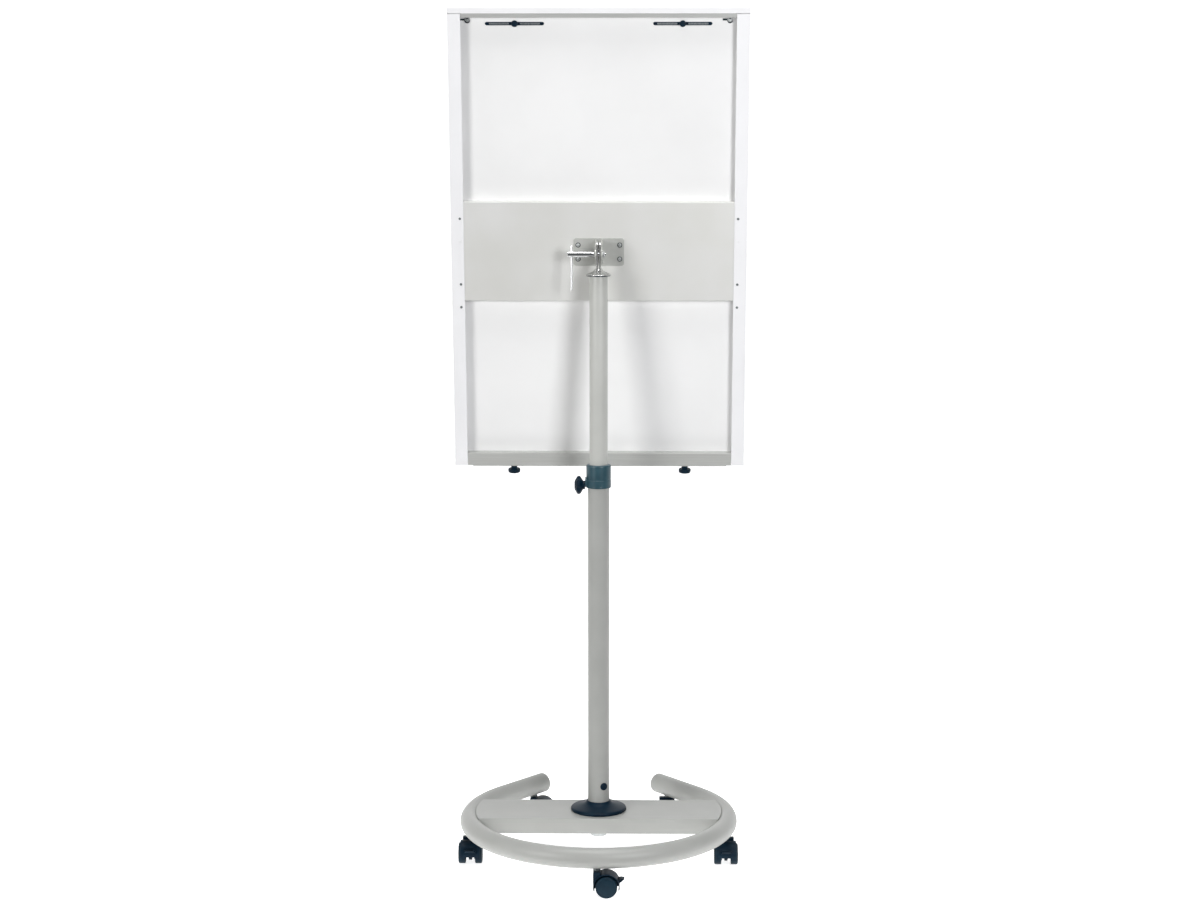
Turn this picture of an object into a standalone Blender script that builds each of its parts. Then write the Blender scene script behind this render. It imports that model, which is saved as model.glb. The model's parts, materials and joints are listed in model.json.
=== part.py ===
"""Mobile flipchart easel: a tilting writing board on a telescopic mast over a C-shaped tube base.

Metres, +Z up. The origin is on the floor under the mast's axis. The writing surface faces -Y,
so "left" is -X and "right" is +X for a person who stands in front of the board.
"""
import bpy
import bmesh
from math import asin, cos, pi, radians, sin
from mathutils import Euler, Vector

# ---- driving dimensions -------------------------------------------------------------------
GAP = 0.0003                     # clearance between pieces that touch or run on each other

RING_RADIUS = 0.303              # base ring, to the middle of its tube
RING_TUBE_RADIUS = 0.0235
RING_WALL = 0.002
TUBE_STEPS = 12                  # sides of the ring tube's section
RING_HEIGHT = 0.086              # middle of the ring's tube above the floor
ARM_SWEEP = radians(38.6)        # how far the ring's arc runs past its sides
ARM_LENGTH = 0.150               # straight ends of the ring

CROSSBAR_WIDTH = 0.156
CROSSBAR_TOP = 0.109
CROSSBAR_BOTTOM = 0.0733
CROSSBAR_SHEET = 0.003
CROSSBAR_REACH = 0.2895          # radius of its curved ends

FOOT_BOLT_RADIUS = 0.008
LOWER_TUBE_RADIUS = 0.025
LOWER_TUBE_WALL = 0.002
TUBE_FLOOR = 0.005               # plate welded in the lower tube's foot
LOWER_TUBE_TOP = 0.925
UPPER_TUBE_RADIUS = 0.021
UPPER_TUBE_WALL = 0.0015
UPPER_TUBE_BOTTOM = 0.620
UPPER_TUBE_TOP = 1.3717
COLLAR_BOTTOM = 0.880
COLLAR_TOP = 0.934
COLLAR_RADIUS = 0.029
KNOB_HEIGHT = 0.8855
KNOB_SCREW_RADIUS = 0.004
PLUG_HEIGHT = 0.1704
PLUG_TURN = radians(118.6)       # where the plug sits round the lower tube, from +X
PLUG_RADIUS = 0.0058

PIVOT_HEIGHT = 1.4197            # tilt hinge
LEAN = radians(8.0)              # the board's top leans back, towards +Y
STANDOFF = 0.054                 # tilt hinge to the board's rear plane
EAR_RADIUS = 0.014
TAB_RISE = 0.016                 # the mast's tabs reach this much past a plain eye
BOLT_RADIUS = 0.004

BOARD_WIDTH = 0.683
BOARD_TOP = 0.5401               # from the tilt hinge, along the board
BOARD_BOTTOM = -0.5205
BOARD_DEPTH = 0.024
FLANGE_WIDTH = 0.030
SHEET = 0.0015
PANEL_SHEET = 0.0015
TOP_RAIL_HEIGHT = 0.014
BACK_PLATE_TOP = 0.1106
BACK_PLATE_BOTTOM = -0.1207
BOTTOM_RAIL_HEIGHT = 0.030
HOOK_SPAN = 0.190                # pad hooks from the middle
HOOK_HEIGHT = 0.5150
HOOK_SLOT_LENGTH = 0.134
HOOK_SLOT_WIDTH = 0.008
CLAMP_PIVOT_HEIGHT = 0.5290
CLAMP_PIVOT_DEPTH = 0.0100       # clamp bar's hinge in front of the panel
CLAMP_BRACKET_SPAN = 0.2965
TRAY_DEPTH = 0.068
TRAY_KNOB_SPAN = 0.202

WHEEL_RADIUS = 0.0247
CASTOR_TRAIL = 0.022
CASTOR_WIDTH = 0.056             # over both wheels
HOOD_WIDTH = 0.047               # the wheels stand out of the shell on both sides
HOOD_RADIUS = 0.0300             # outside of the shell over the wheels
HOOD_WALL = 0.0025
WHEEL_INNER_FACE = 0.0108        # from the castor's middle plane
STEM_FOOT = 0.042
STEM_RADIUS = 0.0055
SOCKET_RADIUS = 0.0075           # the stem's upper part, in the ring's tube
LEVER_RISE = radians(21.0)       # the brake tab points up by this much
LEVER_HALF_WIDTH = 0.0095
LEVER_PIN_RADIUS = 0.0014
CASTORS = {                      # angle round the ring or place on an arm, and where it trails
    "rear": {"angle": radians(90.0), "heading": radians(180.0), "brake": True},
    "right_side": {"angle": radians(9.7), "heading": radians(90.0), "brake": True},
    "left_side": {"angle": radians(170.3), "heading": radians(90.0), "brake": True},
    "right_front": {"arm": 0.115, "side": 1.0, "heading": radians(180.0), "brake": False},
    "left_front": {"arm": 0.115, "side": -1.0, "heading": radians(90.0), "brake": False},
}

# ---- places that follow from them ---------------------------------------------------------
RING_UNDERSIDE = RING_HEIGHT - RING_TUBE_RADIUS
REAR_PLANE = -STANDOFF                                       # board frame, +Y to the rear
FRONT_PLANE = REAR_PLANE - BOARD_DEPTH
PANEL_FRONT = FRONT_PLANE + SHEET + GAP
PANEL_REAR = PANEL_FRONT + PANEL_SHEET
INNER_HALF_WIDTH = BOARD_WIDTH / 2 - FLANGE_WIDTH - GAP
TRAY_TOP = BOARD_BOTTOM - GAP
TRAY_SHEET = 0.002


# ---- helpers ------------------------------------------------------------------------------
def clear_scene():
    for item in list(bpy.data.objects):
        bpy.data.objects.remove(item, do_unlink=True)


def make_material(name, color, roughness, metallic=0.0):
    material = bpy.data.materials.new(name)
    material.use_nodes = True
    shader = material.node_tree.nodes["Principled BSDF"]
    shader.inputs["Base Color"].default_value = (*color, 1.0)
    shader.inputs["Roughness"].default_value = roughness
    shader.inputs["Metallic"].default_value = metallic
    return material


def make_empty(name, location, rotation=(0.0, 0.0, 0.0), parent=None):
    empty = bpy.data.objects.new(name, None)
    empty.location = location
    empty.rotation_euler = rotation
    empty.parent = parent
    bpy.context.collection.objects.link(empty)
    return empty


def add_object(name, bm, material, parent=None, location=(0.0, 0.0, 0.0), rotation=(0.0, 0.0, 0.0)):
    """Turn a bmesh into a named object with outward faces and smooth round sides."""
    bmesh.ops.recalc_face_normals(bm, faces=bm.faces)
    mesh = bpy.data.meshes.new(name)
    bm.to_mesh(mesh)
    bm.free()
    mesh.shade_smooth()
    mesh.set_sharp_from_angle(angle=radians(35.0))
    item = bpy.data.objects.new(name, mesh)
    if material:
        mesh.materials.append(material)
    item.parent = parent
    item.location = location
    item.rotation_euler = rotation
    bpy.context.collection.objects.link(item)
    return item


def add_cutter(name, bm, parent=None, location=(0.0, 0.0, 0.0), rotation=(0.0, 0.0, 0.0)):
    cutter = add_object(name, bm, None, parent, location, rotation)
    cutter.hide_render = True
    cutter.display_type = "WIRE"
    return cutter


def combine(item, other, operation):
    modifier = item.modifiers.new(other.name, "BOOLEAN")
    modifier.operation = operation
    modifier.solver = "EXACT"
    modifier.object = other


def circle(center, radius, across, up, steps):
    """Points round a circle in the plane of two unit vectors."""
    points = []
    for index in range(steps):
        turn = 2 * pi * index / steps
        points.append(center + across * (radius * cos(turn)) + up * (radius * sin(turn)))
    return points


def loft(rings, closed=False):
    """Skin a row of equal loops. Closed joins the last loop to the first, as on a hollow tube."""
    bm = bmesh.new()
    loops = [[bm.verts.new(point) for point in ring] for ring in rings]
    pairs = list(zip(loops, loops[1:]))
    if closed:
        pairs.append((loops[-1], loops[0]))
    else:
        bm.faces.new(loops[0][::-1])
        bm.faces.new(loops[-1])
    for near, far in pairs:
        for index in range(len(near)):
            following = (index + 1) % len(near)
            bm.faces.new((near[index], near[following], far[following], far[index]))
    return bm


def lathe(profile, steps=20, hollow=False):
    """Turn (radius, height) points round Z. A hollow profile is a loop clear of the axis."""
    rings = [
        circle(Vector((0, 0, height)), radius, Vector((1, 0, 0)), Vector((0, 1, 0)), steps)
        for radius, height in profile
    ]
    return loft(rings, closed=hollow)


def rod(radius, low, high, steps=12):
    return lathe([(radius, low), (radius, high)], steps)


def sleeve(outer, inner, low, high, steps=24):
    return lathe([(outer, low), (outer, high), (inner, high), (inner, low)], steps, hollow=True)


def box(low, high):
    rings = [[(low[0], low[1], z), (high[0], low[1], z), (high[0], high[1], z), (low[0], high[1], z)]
             for z in (low[2], high[2])]
    return loft(rings)


def extrude_x(profile, left, right):
    """Extrude a (y, z) outline along X."""
    return loft([[(x, y, z) for y, z in profile] for x in (left, right)])


def extrude_y(profile, near, far):
    """Extrude an (x, z) outline along Y."""
    return loft([[(x, y, z) for x, z in profile] for y in (near, far)])


def extrude_z(profile, low, high):
    """Extrude an (x, y) outline along Z."""
    return loft([[(x, y, z) for x, y in profile] for z in (low, high)])


def arc(center, radius, start, end, steps):
    """Points of an arc as (x, y) pairs, both ends included."""
    turns = [start + (end - start) * index / steps for index in range(steps + 1)]
    return [(center[0] + radius * cos(turn), center[1] + radius * sin(turn)) for turn in turns]


def rounded_rectangle(width, height, radius, steps=4):
    points = []
    for quarter, (side_x, side_y) in enumerate(((1, 1), (-1, 1), (-1, -1), (1, -1))):
        center = (side_x * (width / 2 - radius), side_y * (height / 2 - radius))
        start = quarter * pi / 2
        points += arc(center, radius, start, start + pi / 2, steps)
    return points


def capsule(length, width, steps=6):
    """Outline of a slot with round ends, along the first axis."""
    radius = width / 2
    reach = length / 2 - radius
    right = arc((reach, 0), radius, -pi / 2, pi / 2, steps)
    return right + arc((-reach, 0), radius, pi / 2, 3 * pi / 2, steps)


def lobed_outline(radius, depth, lobes, steps_per_lobe):
    """Outline of a hand knob whose grip swells and dips."""
    points = []
    for index in range(lobes * steps_per_lobe):
        turn = 2 * pi * index / (lobes * steps_per_lobe)
        reach = radius - depth / 2 + depth / 2 * cos(lobes * turn)
        points.append((reach * cos(turn), reach * sin(turn)))
    return points


def knob_mesh(radius, depth, lobes, steps_per_lobe, head, neck, shank):
    """A lobed head, a round neck and a screw shank, stacked along Z from the head's face."""
    outline = lobed_outline(radius, depth, lobes, steps_per_lobe)
    count = len(outline)
    rings = []
    for scale, height in ((0.70, 0.0), (1.0, head * 0.32), (1.0, head * 0.68), (0.70, head)):
        rings.append([(x * scale, y * scale, height) for x, y in outline])
    for part_radius, low, high in ((neck[0], head, head + neck[1]),
                                   (shank[0], head + neck[1], head + neck[1] + shank[1])):
        for height in (low, high):
            middle = Vector((0, 0, height))
            rings.append(circle(middle, part_radius, Vector((1, 0, 0)), Vector((0, 1, 0)), count))
    return loft(rings)


# ---- base ---------------------------------------------------------------------------------
def ring_path(arc_steps=30):
    """The ring's middle line, from the right arm's end round the back to the left arm's end."""
    turns = [-ARM_SWEEP + (pi + 2 * ARM_SWEEP) * index / arc_steps for index in range(arc_steps + 1)]
    path = [Vector((RING_RADIUS * cos(turn), RING_RADIUS * sin(turn), RING_HEIGHT)) for turn in turns]
    right_end = arm_point(1.0, ARM_LENGTH)
    left_end = arm_point(-1.0, ARM_LENGTH)
    return [right_end] + path + [left_end]


def arm_point(side, distance):
    """A point on a straight arm, a distance past the end of the arc."""
    x = RING_RADIUS * cos(ARM_SWEEP) - distance * sin(ARM_SWEEP)
    y = -RING_RADIUS * sin(ARM_SWEEP) - distance * cos(ARM_SWEEP)
    return Vector((side * x, y, RING_HEIGHT))


def tube_rings(path, radius):
    rings = []
    for index, point in enumerate(path):
        before = path[max(index - 1, 0)]
        after = path[min(index + 1, len(path) - 1)]
        along = (after - before).normalized()
        across = along.cross(Vector((0, 0, 1)))
        rings.append(circle(point, radius, across, Vector((0, 0, 1)), TUBE_STEPS))
    return rings


def castor_stem_place(castor):
    if "arm" in castor:
        point = arm_point(castor["side"], castor["arm"])
    else:
        turn = castor["angle"]
        point = Vector((RING_RADIUS * cos(turn), RING_RADIUS * sin(turn), 0.0))
    return Vector((point.x, point.y, 0.0))


def make_ring(material):
    path = ring_path()
    outer = tube_rings(path, RING_TUBE_RADIUS)
    inner = tube_rings(path, RING_TUBE_RADIUS - RING_WALL)
    ring = add_object("base_ring", loft(outer + inner[::-1], closed=True), material)
    for name, castor in CASTORS.items():
        place = castor_stem_place(castor)
        low = RING_UNDERSIDE - 0.010
        high = RING_UNDERSIDE + 0.010
        hole = rod(SOCKET_RADIUS + GAP, low, high)
        combine(ring, add_cutter("socket_hole_" + name, hole, location=place), "DIFFERENCE")
    plug_radius = (RING_TUBE_RADIUS - RING_WALL) * cos(pi / TUBE_STEPS) - GAP
    profile = [(plug_radius - 0.003, -0.014), (plug_radius, -0.011), (plug_radius, GAP),
               (RING_TUBE_RADIUS - 0.0005, GAP), (RING_TUBE_RADIUS - 0.0005, 0.0020),
               (RING_TUBE_RADIUS - 0.0030, 0.0040)]
    for side, label in ((1.0, "right"), (-1.0, "left")):
        outwards = Vector((-side * sin(ARM_SWEEP), -cos(ARM_SWEEP), 0.0))
        turn = outwards.to_track_quat("Z", "Y").to_euler()
        add_object("ring_end_cap_" + label, lathe(profile), material,
                   location=arm_point(side, ARM_LENGTH), rotation=turn)


def make_crossbar(material):
    half = CROSSBAR_WIDTH / 2
    reach = asin(half / CROSSBAR_REACH)
    outline = arc((0, 0), CROSSBAR_REACH, -reach, reach, 8)
    outline += arc((0, 0), CROSSBAR_REACH, pi - reach, pi + reach, 8)
    bar = add_object("base_crossbar", extrude_z(outline, CROSSBAR_BOTTOM, CROSSBAR_TOP), material)
    inside = half - CROSSBAR_SHEET
    hollow = box((-RING_RADIUS, -inside, 0.0), (RING_RADIUS, inside, CROSSBAR_TOP - CROSSBAR_SHEET))
    combine(bar, add_cutter("crossbar_hollow", hollow), "DIFFERENCE")
    cope = loft(tube_rings(ring_path(), RING_TUBE_RADIUS + GAP))
    combine(bar, add_cutter("crossbar_cope", cope), "DIFFERENCE")
    hole = rod(FOOT_BOLT_RADIUS + GAP, CROSSBAR_TOP - 0.010, CROSSBAR_TOP + 0.010, 20)
    combine(bar, add_cutter("crossbar_bolt_hole", hole), "DIFFERENCE")


def make_mast_foot(metal, plastic):
    """The hub bolt under the crossbar and the flared cover over the tube's foot."""
    hub_bottom = 0.047
    hub_top = CROSSBAR_TOP - CROSSBAR_SHEET - GAP
    shank_top = CROSSBAR_TOP + 0.016
    add_object("mast_foot_bolt", lathe([
        (0.0165, hub_bottom), (0.0190, hub_bottom + 0.0025), (0.0190, hub_top),
        (FOOT_BOLT_RADIUS, hub_top), (FOOT_BOLT_RADIUS, shank_top)]), metal)
    base = CROSSBAR_TOP + GAP
    hole = LOWER_TUBE_RADIUS + GAP
    add_object("mast_foot_cover", lathe([
        (0.0650, base), (0.0650, base + 0.0050), (0.0630, base + 0.0085), (0.0520, base + 0.0110),
        (0.0340, base + 0.0165), (0.0290, base + 0.0230), (hole, base + 0.0230), (hole, base + 0.0180),
        (0.0300, base + 0.0140), (0.0600, base + 0.0055), (0.0620, base)], 24, hollow=True), plastic)


# ---- mast ---------------------------------------------------------------------------------
def make_lower_mast(steel, plastic, knob_material):
    bottom = CROSSBAR_TOP + GAP
    inner = LOWER_TUBE_RADIUS - LOWER_TUBE_WALL
    bolt_hole = FOOT_BOLT_RADIUS + GAP
    tube = add_object("lower_mast_tube", lathe([
        (LOWER_TUBE_RADIUS, bottom), (LOWER_TUBE_RADIUS, LOWER_TUBE_TOP), (inner, LOWER_TUBE_TOP),
        (inner, bottom + TUBE_FLOOR), (bolt_hole, bottom + TUBE_FLOOR), (bolt_hole, bottom)],
        24, hollow=True), steel)
    side = Euler((0.0, radians(90.0), 0.0))
    screw_hole = rod(KNOB_SCREW_RADIUS + GAP, 0.0, 0.040)
    combine(tube, add_cutter("tube_screw_hole", screw_hole, None, (0, 0, KNOB_HEIGHT), side), "DIFFERENCE")
    plug_turn = Euler((0.0, radians(90.0), PLUG_TURN))
    plug_hole = rod(PLUG_RADIUS + 2 * GAP, 0.0, 0.040)
    combine(tube, add_cutter("tube_plug_hole", plug_hole, None, (0, 0, PLUG_HEIGHT), plug_turn), "DIFFERENCE")
    add_object("mast_lock_screw", lathe([
        (PLUG_RADIUS, 0.0205), (PLUG_RADIUS, LOWER_TUBE_RADIUS + GAP), (0.0088, LOWER_TUBE_RADIUS + GAP),
        (0.0088, LOWER_TUBE_RADIUS + 0.0022), (0.0075, LOWER_TUBE_RADIUS + 0.0034)], 20),
        knob_material, None, (0, 0, PLUG_HEIGHT), plug_turn)

    wide = LOWER_TUBE_RADIUS + GAP
    narrow = UPPER_TUBE_RADIUS + GAP
    collar = add_object("clamp_collar", lathe([
        (COLLAR_RADIUS - 0.001, COLLAR_BOTTOM), (COLLAR_RADIUS, COLLAR_BOTTOM + 0.001),
        (COLLAR_RADIUS, COLLAR_TOP - 0.002), (COLLAR_RADIUS - 0.002, COLLAR_TOP),
        (narrow, COLLAR_TOP), (narrow, LOWER_TUBE_TOP + GAP), (wide, LOWER_TUBE_TOP + GAP),
        (wide, COLLAR_BOTTOM)], 24, hollow=True), plastic)
    boss_face = 0.0310
    boss = rod(0.0115, 0.0262, boss_face)
    combine(collar, add_cutter("collar_boss", boss, None, (0, 0, COLLAR_BOTTOM + 0.0125), side), "UNION")
    bore = rod(KNOB_SCREW_RADIUS + GAP, 0.0, 0.050)
    combine(collar, add_cutter("collar_screw_hole", bore, None, (0, 0, KNOB_HEIGHT), side), "DIFFERENCE")
    head = 0.020
    neck = 0.0045
    outside = boss_face + GAP + neck + head
    shank = outside - head - neck - UPPER_TUBE_RADIUS - 2 * GAP
    add_object("clamp_knob", knob_mesh(0.021, 0.006, 5, 6, head, (0.0100, neck),
                                       (KNOB_SCREW_RADIUS, shank)), knob_material, None,
               (outside, 0, KNOB_HEIGHT), (0.0, radians(-90.0), 0.0))


def make_upper_mast(steel, metal, plastic):
    narrow = UPPER_TUBE_RADIUS - UPPER_TUBE_WALL
    add_object("upper_mast_tube", sleeve(UPPER_TUBE_RADIUS, narrow, UPPER_TUBE_BOTTOM, UPPER_TUBE_TOP), steel)
    lip = UPPER_TUBE_BOTTOM - 0.006
    bush_outer = LOWER_TUBE_RADIUS - LOWER_TUBE_WALL - 0.0004
    bush_inner = UPPER_TUBE_RADIUS + GAP
    add_object("mast_guide_bush", lathe([
        (bush_outer, lip), (bush_outer, UPPER_TUBE_BOTTOM + 0.055), (bush_inner, UPPER_TUBE_BOTTOM + 0.055),
        (bush_inner, UPPER_TUBE_BOTTOM - GAP), (0.0180, UPPER_TUBE_BOTTOM - GAP), (0.0180, lip)],
        24, hollow=True), plastic)

    base = UPPER_TUBE_TOP + GAP
    plug = narrow - GAP
    cap = add_object("mast_top_cap", lathe([
        (plug - 0.001, base - 0.025), (plug, base - 0.022), (plug, base), (0.0285, base),
        (0.0285, base + 0.0030), (0.0200, base + 0.0060), (0.0110, base + 0.0110), (0.0080, base + 0.0130)],
        24), metal)
    for side, label in ((1.0, "right"), (-1.0, "left")):
        tab = tab_outline(0.0165, base + 0.005 - PIVOT_HEIGHT)
        near = side * 0.0013
        far = side * 0.0048
        plate = extrude_x(tab, min(near, far), max(near, far))
        combine(cap, add_cutter("cap_tab_" + label, plate, None, (0, 0, PIVOT_HEIGHT)), "UNION")
    bore = rod(BOLT_RADIUS + GAP, -0.020, 0.020)
    combine(cap, add_cutter("cap_bolt_bore", bore, None, (0, 0, PIVOT_HEIGHT), (0, radians(90.0), 0)),
            "DIFFERENCE")


def tab_outline(half_width, root):
    """A (y, z) outline round the tilt hinge: round at its top, wider down to its root."""
    return [(half_width, root)] + arc((0, TAB_RISE), EAR_RADIUS, 0.0, pi, 12) + [(-half_width, root)]


def make_tilt_clamp(metal):
    """The clamp bolt with its long sleeve head, its tommy bar and its nut."""
    turn = (0.0, radians(90.0), 0.0)
    place = (0.0, 0.0, PIVOT_HEIGHT)
    ears_outside = 0.0088
    sleeve_start = ears_outside + GAP
    sleeve_end = 0.0710
    bar_place = 0.0620
    bolt = add_object("tilt_clamp_bolt", lathe([
        (BOLT_RADIUS, -0.0170), (BOLT_RADIUS, sleeve_start), (0.0050, sleeve_start),
        (0.0068, sleeve_start + 0.0080), (0.0068, sleeve_end - 0.0010), (0.0058, sleeve_end)],
        16), metal, None, place, turn)
    bar_radius = 0.0030
    bore = rod(bar_radius + GAP, -0.020, 0.020)
    combine(bolt, add_cutter("tommy_bar_bore", bore, None, (bar_place, 0, PIVOT_HEIGHT)), "DIFFERENCE")
    low = -0.0830
    high = 0.0210
    add_object("tommy_bar", lathe([
        (bar_radius * 0.6, low), (bar_radius, low + 0.0015), (bar_radius, high - 0.0015),
        (bar_radius * 0.6, high)], 12), metal, None, (bar_place, 0, PIVOT_HEIGHT))
    nut_near = ears_outside + GAP
    nut_bore = (BOLT_RADIUS + GAP) / cos(pi / 6)
    add_object("tilt_nut", lathe([
        (0.0065, -nut_near - 0.0055), (0.0065, -nut_near), (nut_bore, -nut_near),
        (nut_bore, -nut_near - 0.0055)], 6, hollow=True), metal, None, place, turn)


# ---- board --------------------------------------------------------------------------------
def make_tilt_bracket(board, metal):
    plate_width = 0.116
    plate_height = 0.0645
    thickness = 0.004
    rear = REAR_PLANE + GAP + thickness
    middle = -0.005
    outline = [(x, z + middle) for x, z in rounded_rectangle(plate_width, plate_height, 0.006)]
    plate = add_object("tilt_bracket", extrude_y(outline, rear - thickness, rear), metal, board)
    root = rear - 0.001
    half = plate_height / 2 - 0.003
    ear = [(root, middle - half)] + arc((0, 0), EAR_RADIUS, -pi / 3, pi / 3, 10) + [(root, middle + half)]
    for side, label in ((1.0, "right"), (-1.0, "left")):
        near = side * 0.0051
        far = side * 0.0088
        mesh = extrude_x(ear, min(near, far), max(near, far))
        combine(plate, add_cutter("bracket_ear_" + label, mesh, board), "UNION")
    bore = rod(BOLT_RADIUS + GAP, -0.020, 0.020)
    combine(plate, add_cutter("bracket_bore", bore, board, (0, 0, 0), (0, radians(90.0), 0)), "DIFFERENCE")
    return plate, rear, middle


def make_bracket_screws(board, plate, back_plate, rear, middle, metal):
    number = 0
    for x in (-0.048, 0.048):
        for z in (middle - 0.0165, middle + 0.0165):
            number += 1
            hole = rod(0.0028, -0.012, 0.012, 12)
            cutter = add_cutter("bracket_hole_%d" % number, hole, board, (x, rear, z), (radians(90.0), 0, 0))
            combine(plate, cutter, "DIFFERENCE")
            combine(back_plate, cutter, "DIFFERENCE")
            screw = lathe([(0.0040, -0.0030), (0.0055, -0.0014), (0.0055, -GAP), (0.0025, -GAP),
                           (0.0025, 0.0120)], 12)
            add_object("bracket_screw_%d" % number, screw, metal, board, (x, rear, z), (radians(90.0), 0, 0))


def make_panel(board, material):
    half = BOARD_WIDTH / 2 - SHEET - GAP
    panel = add_object("writing_panel", box((-half, PANEL_FRONT, BOARD_BOTTOM),
                                            (half, PANEL_REAR, BOARD_TOP - GAP)), material, board)
    for side, label in ((1.0, "right"), (-1.0, "left")):
        slot = extrude_y(capsule(HOOK_SLOT_LENGTH, HOOK_SLOT_WIDTH), -0.010, 0.010)
        combine(panel, add_cutter("hook_slot_" + label, slot, board,
                                  (side * HOOK_SPAN, PANEL_FRONT, HOOK_HEIGHT)), "DIFFERENCE")
        hole = rod(0.0043, -0.010, 0.010)
        combine(panel, add_cutter("clamp_bracket_hole_" + label, hole, board,
                                  (side * CLAMP_BRACKET_SPAN, PANEL_FRONT, CLAMP_PIVOT_HEIGHT - 0.004),
                                  (radians(90.0), 0, 0)), "DIFFERENCE")


def make_side_channels(board, material):
    """C-shaped edge profiles: a wide rear flange, a web and a narrow front lip."""
    lip = 0.012
    outer = BOARD_WIDTH / 2
    for side, label in ((1.0, "right"), (-1.0, "left")):
        outline = [
            (outer - FLANGE_WIDTH, REAR_PLANE), (outer, REAR_PLANE), (outer, FRONT_PLANE),
            (outer - lip, FRONT_PLANE), (outer - lip, FRONT_PLANE + SHEET),
            (outer - SHEET, FRONT_PLANE + SHEET), (outer - SHEET, REAR_PLANE - SHEET),
            (outer - FLANGE_WIDTH, REAR_PLANE - SHEET)]
        outline = [(side * x, y) for x, y in outline]
        add_object("side_channel_" + label, extrude_z(outline, BOARD_BOTTOM, BOARD_TOP), material, board)


def make_back_plate(board, material):
    """A sheet between the side flanges, with its top and bottom edges folded in."""
    fold = PANEL_REAR + GAP
    top = BACK_PLATE_TOP
    bottom = BACK_PLATE_BOTTOM
    outline = [
        (REAR_PLANE, bottom), (REAR_PLANE, top), (fold, top), (fold, top - SHEET),
        (REAR_PLANE - SHEET, top - SHEET), (REAR_PLANE - SHEET, bottom + SHEET),
        (fold, bottom + SHEET), (fold, bottom)]
    return add_object("back_plate", extrude_x(outline, -INNER_HALF_WIDTH, INNER_HALF_WIDTH), material, board)


def make_bottom_rail(board, material):
    wall = 0.002
    fold = PANEL_REAR + GAP
    top = BOARD_BOTTOM + BOTTOM_RAIL_HEIGHT
    outline = [
        (REAR_PLANE, BOARD_BOTTOM), (REAR_PLANE, top), (fold, top), (fold, top - wall),
        (REAR_PLANE - wall, top - wall), (REAR_PLANE - wall, BOARD_BOTTOM + wall),
        (fold, BOARD_BOTTOM + wall), (fold, BOARD_BOTTOM)]
    return add_object("bottom_rail", extrude_x(outline, -INNER_HALF_WIDTH, INNER_HALF_WIDTH), material, board)


def make_top_rail(board, material):
    """A cap over the top edge: a shallow trough turned upside down, with closed ends."""
    half = BOARD_WIDTH / 2
    low = BOARD_TOP + GAP
    high = BOARD_TOP + TOP_RAIL_HEIGHT
    rail = add_object("top_rail", box((-half, FRONT_PLANE, low), (half, REAR_PLANE, high)), material, board)
    hollow = box((-half + SHEET, FRONT_PLANE + SHEET, low - 0.010),
                 (half - SHEET, REAR_PLANE - SHEET, high - SHEET))
    combine(rail, add_cutter("top_rail_hollow", hollow, board), "DIFFERENCE")


def make_pen_tray(board, rail, tray_material, knob_material):
    high = TRAY_TOP
    low = TRAY_TOP - TRAY_SHEET
    rear = REAR_PLANE - 0.002
    front = FRONT_PLANE - TRAY_DEPTH
    lip = 0.016
    fence = 0.010
    back = FRONT_PLANE - 0.0005
    half = 0.300
    outline = [
        (rear, low), (rear, high), (back, high), (back, high + fence), (back - SHEET, high + fence),
        (back - SHEET, high), (front + TRAY_SHEET, high), (front + TRAY_SHEET, high + lip - 0.004),
        (front - 0.002, high + lip), (front - 0.004, high + lip - 0.0015), (front - 0.002, low + 0.003),
        (front + 0.001, low)]
    tray = add_object("pen_tray", extrude_x(outline, -half, half), tray_material, board)
    end = [(back - SHEET, low), (back - SHEET, high + fence), (front + 0.001, high + lip - 0.004),
           (front + 0.001, low)]
    for side, label in ((1.0, "right"), (-1.0, "left")):
        near = side * (half - TRAY_SHEET)
        far = side * half
        wall = extrude_x(end, min(near, far), max(near, far))
        combine(tray, add_cutter("tray_end_" + label, wall, board), "UNION")
    head = 0.0088
    neck = 0.0082
    knob_y = REAR_PLANE - 0.010
    for side, label in ((1.0, "right"), (-1.0, "left")):
        x = side * TRAY_KNOB_SPAN
        hole = add_cutter("tray_knob_hole_" + label, rod(0.0028, -0.010, 0.010, 12), board, (x, knob_y, low))
        combine(tray, hole, "DIFFERENCE")
        combine(rail, hole, "DIFFERENCE")
        mesh = knob_mesh(0.01435, 0.0016, 8, 3, head, (0.0070, neck), (0.0025, 0.016))
        add_object("tray_knob_" + label, mesh, knob_material, board, (x, knob_y, low - GAP - head - neck))


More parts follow.
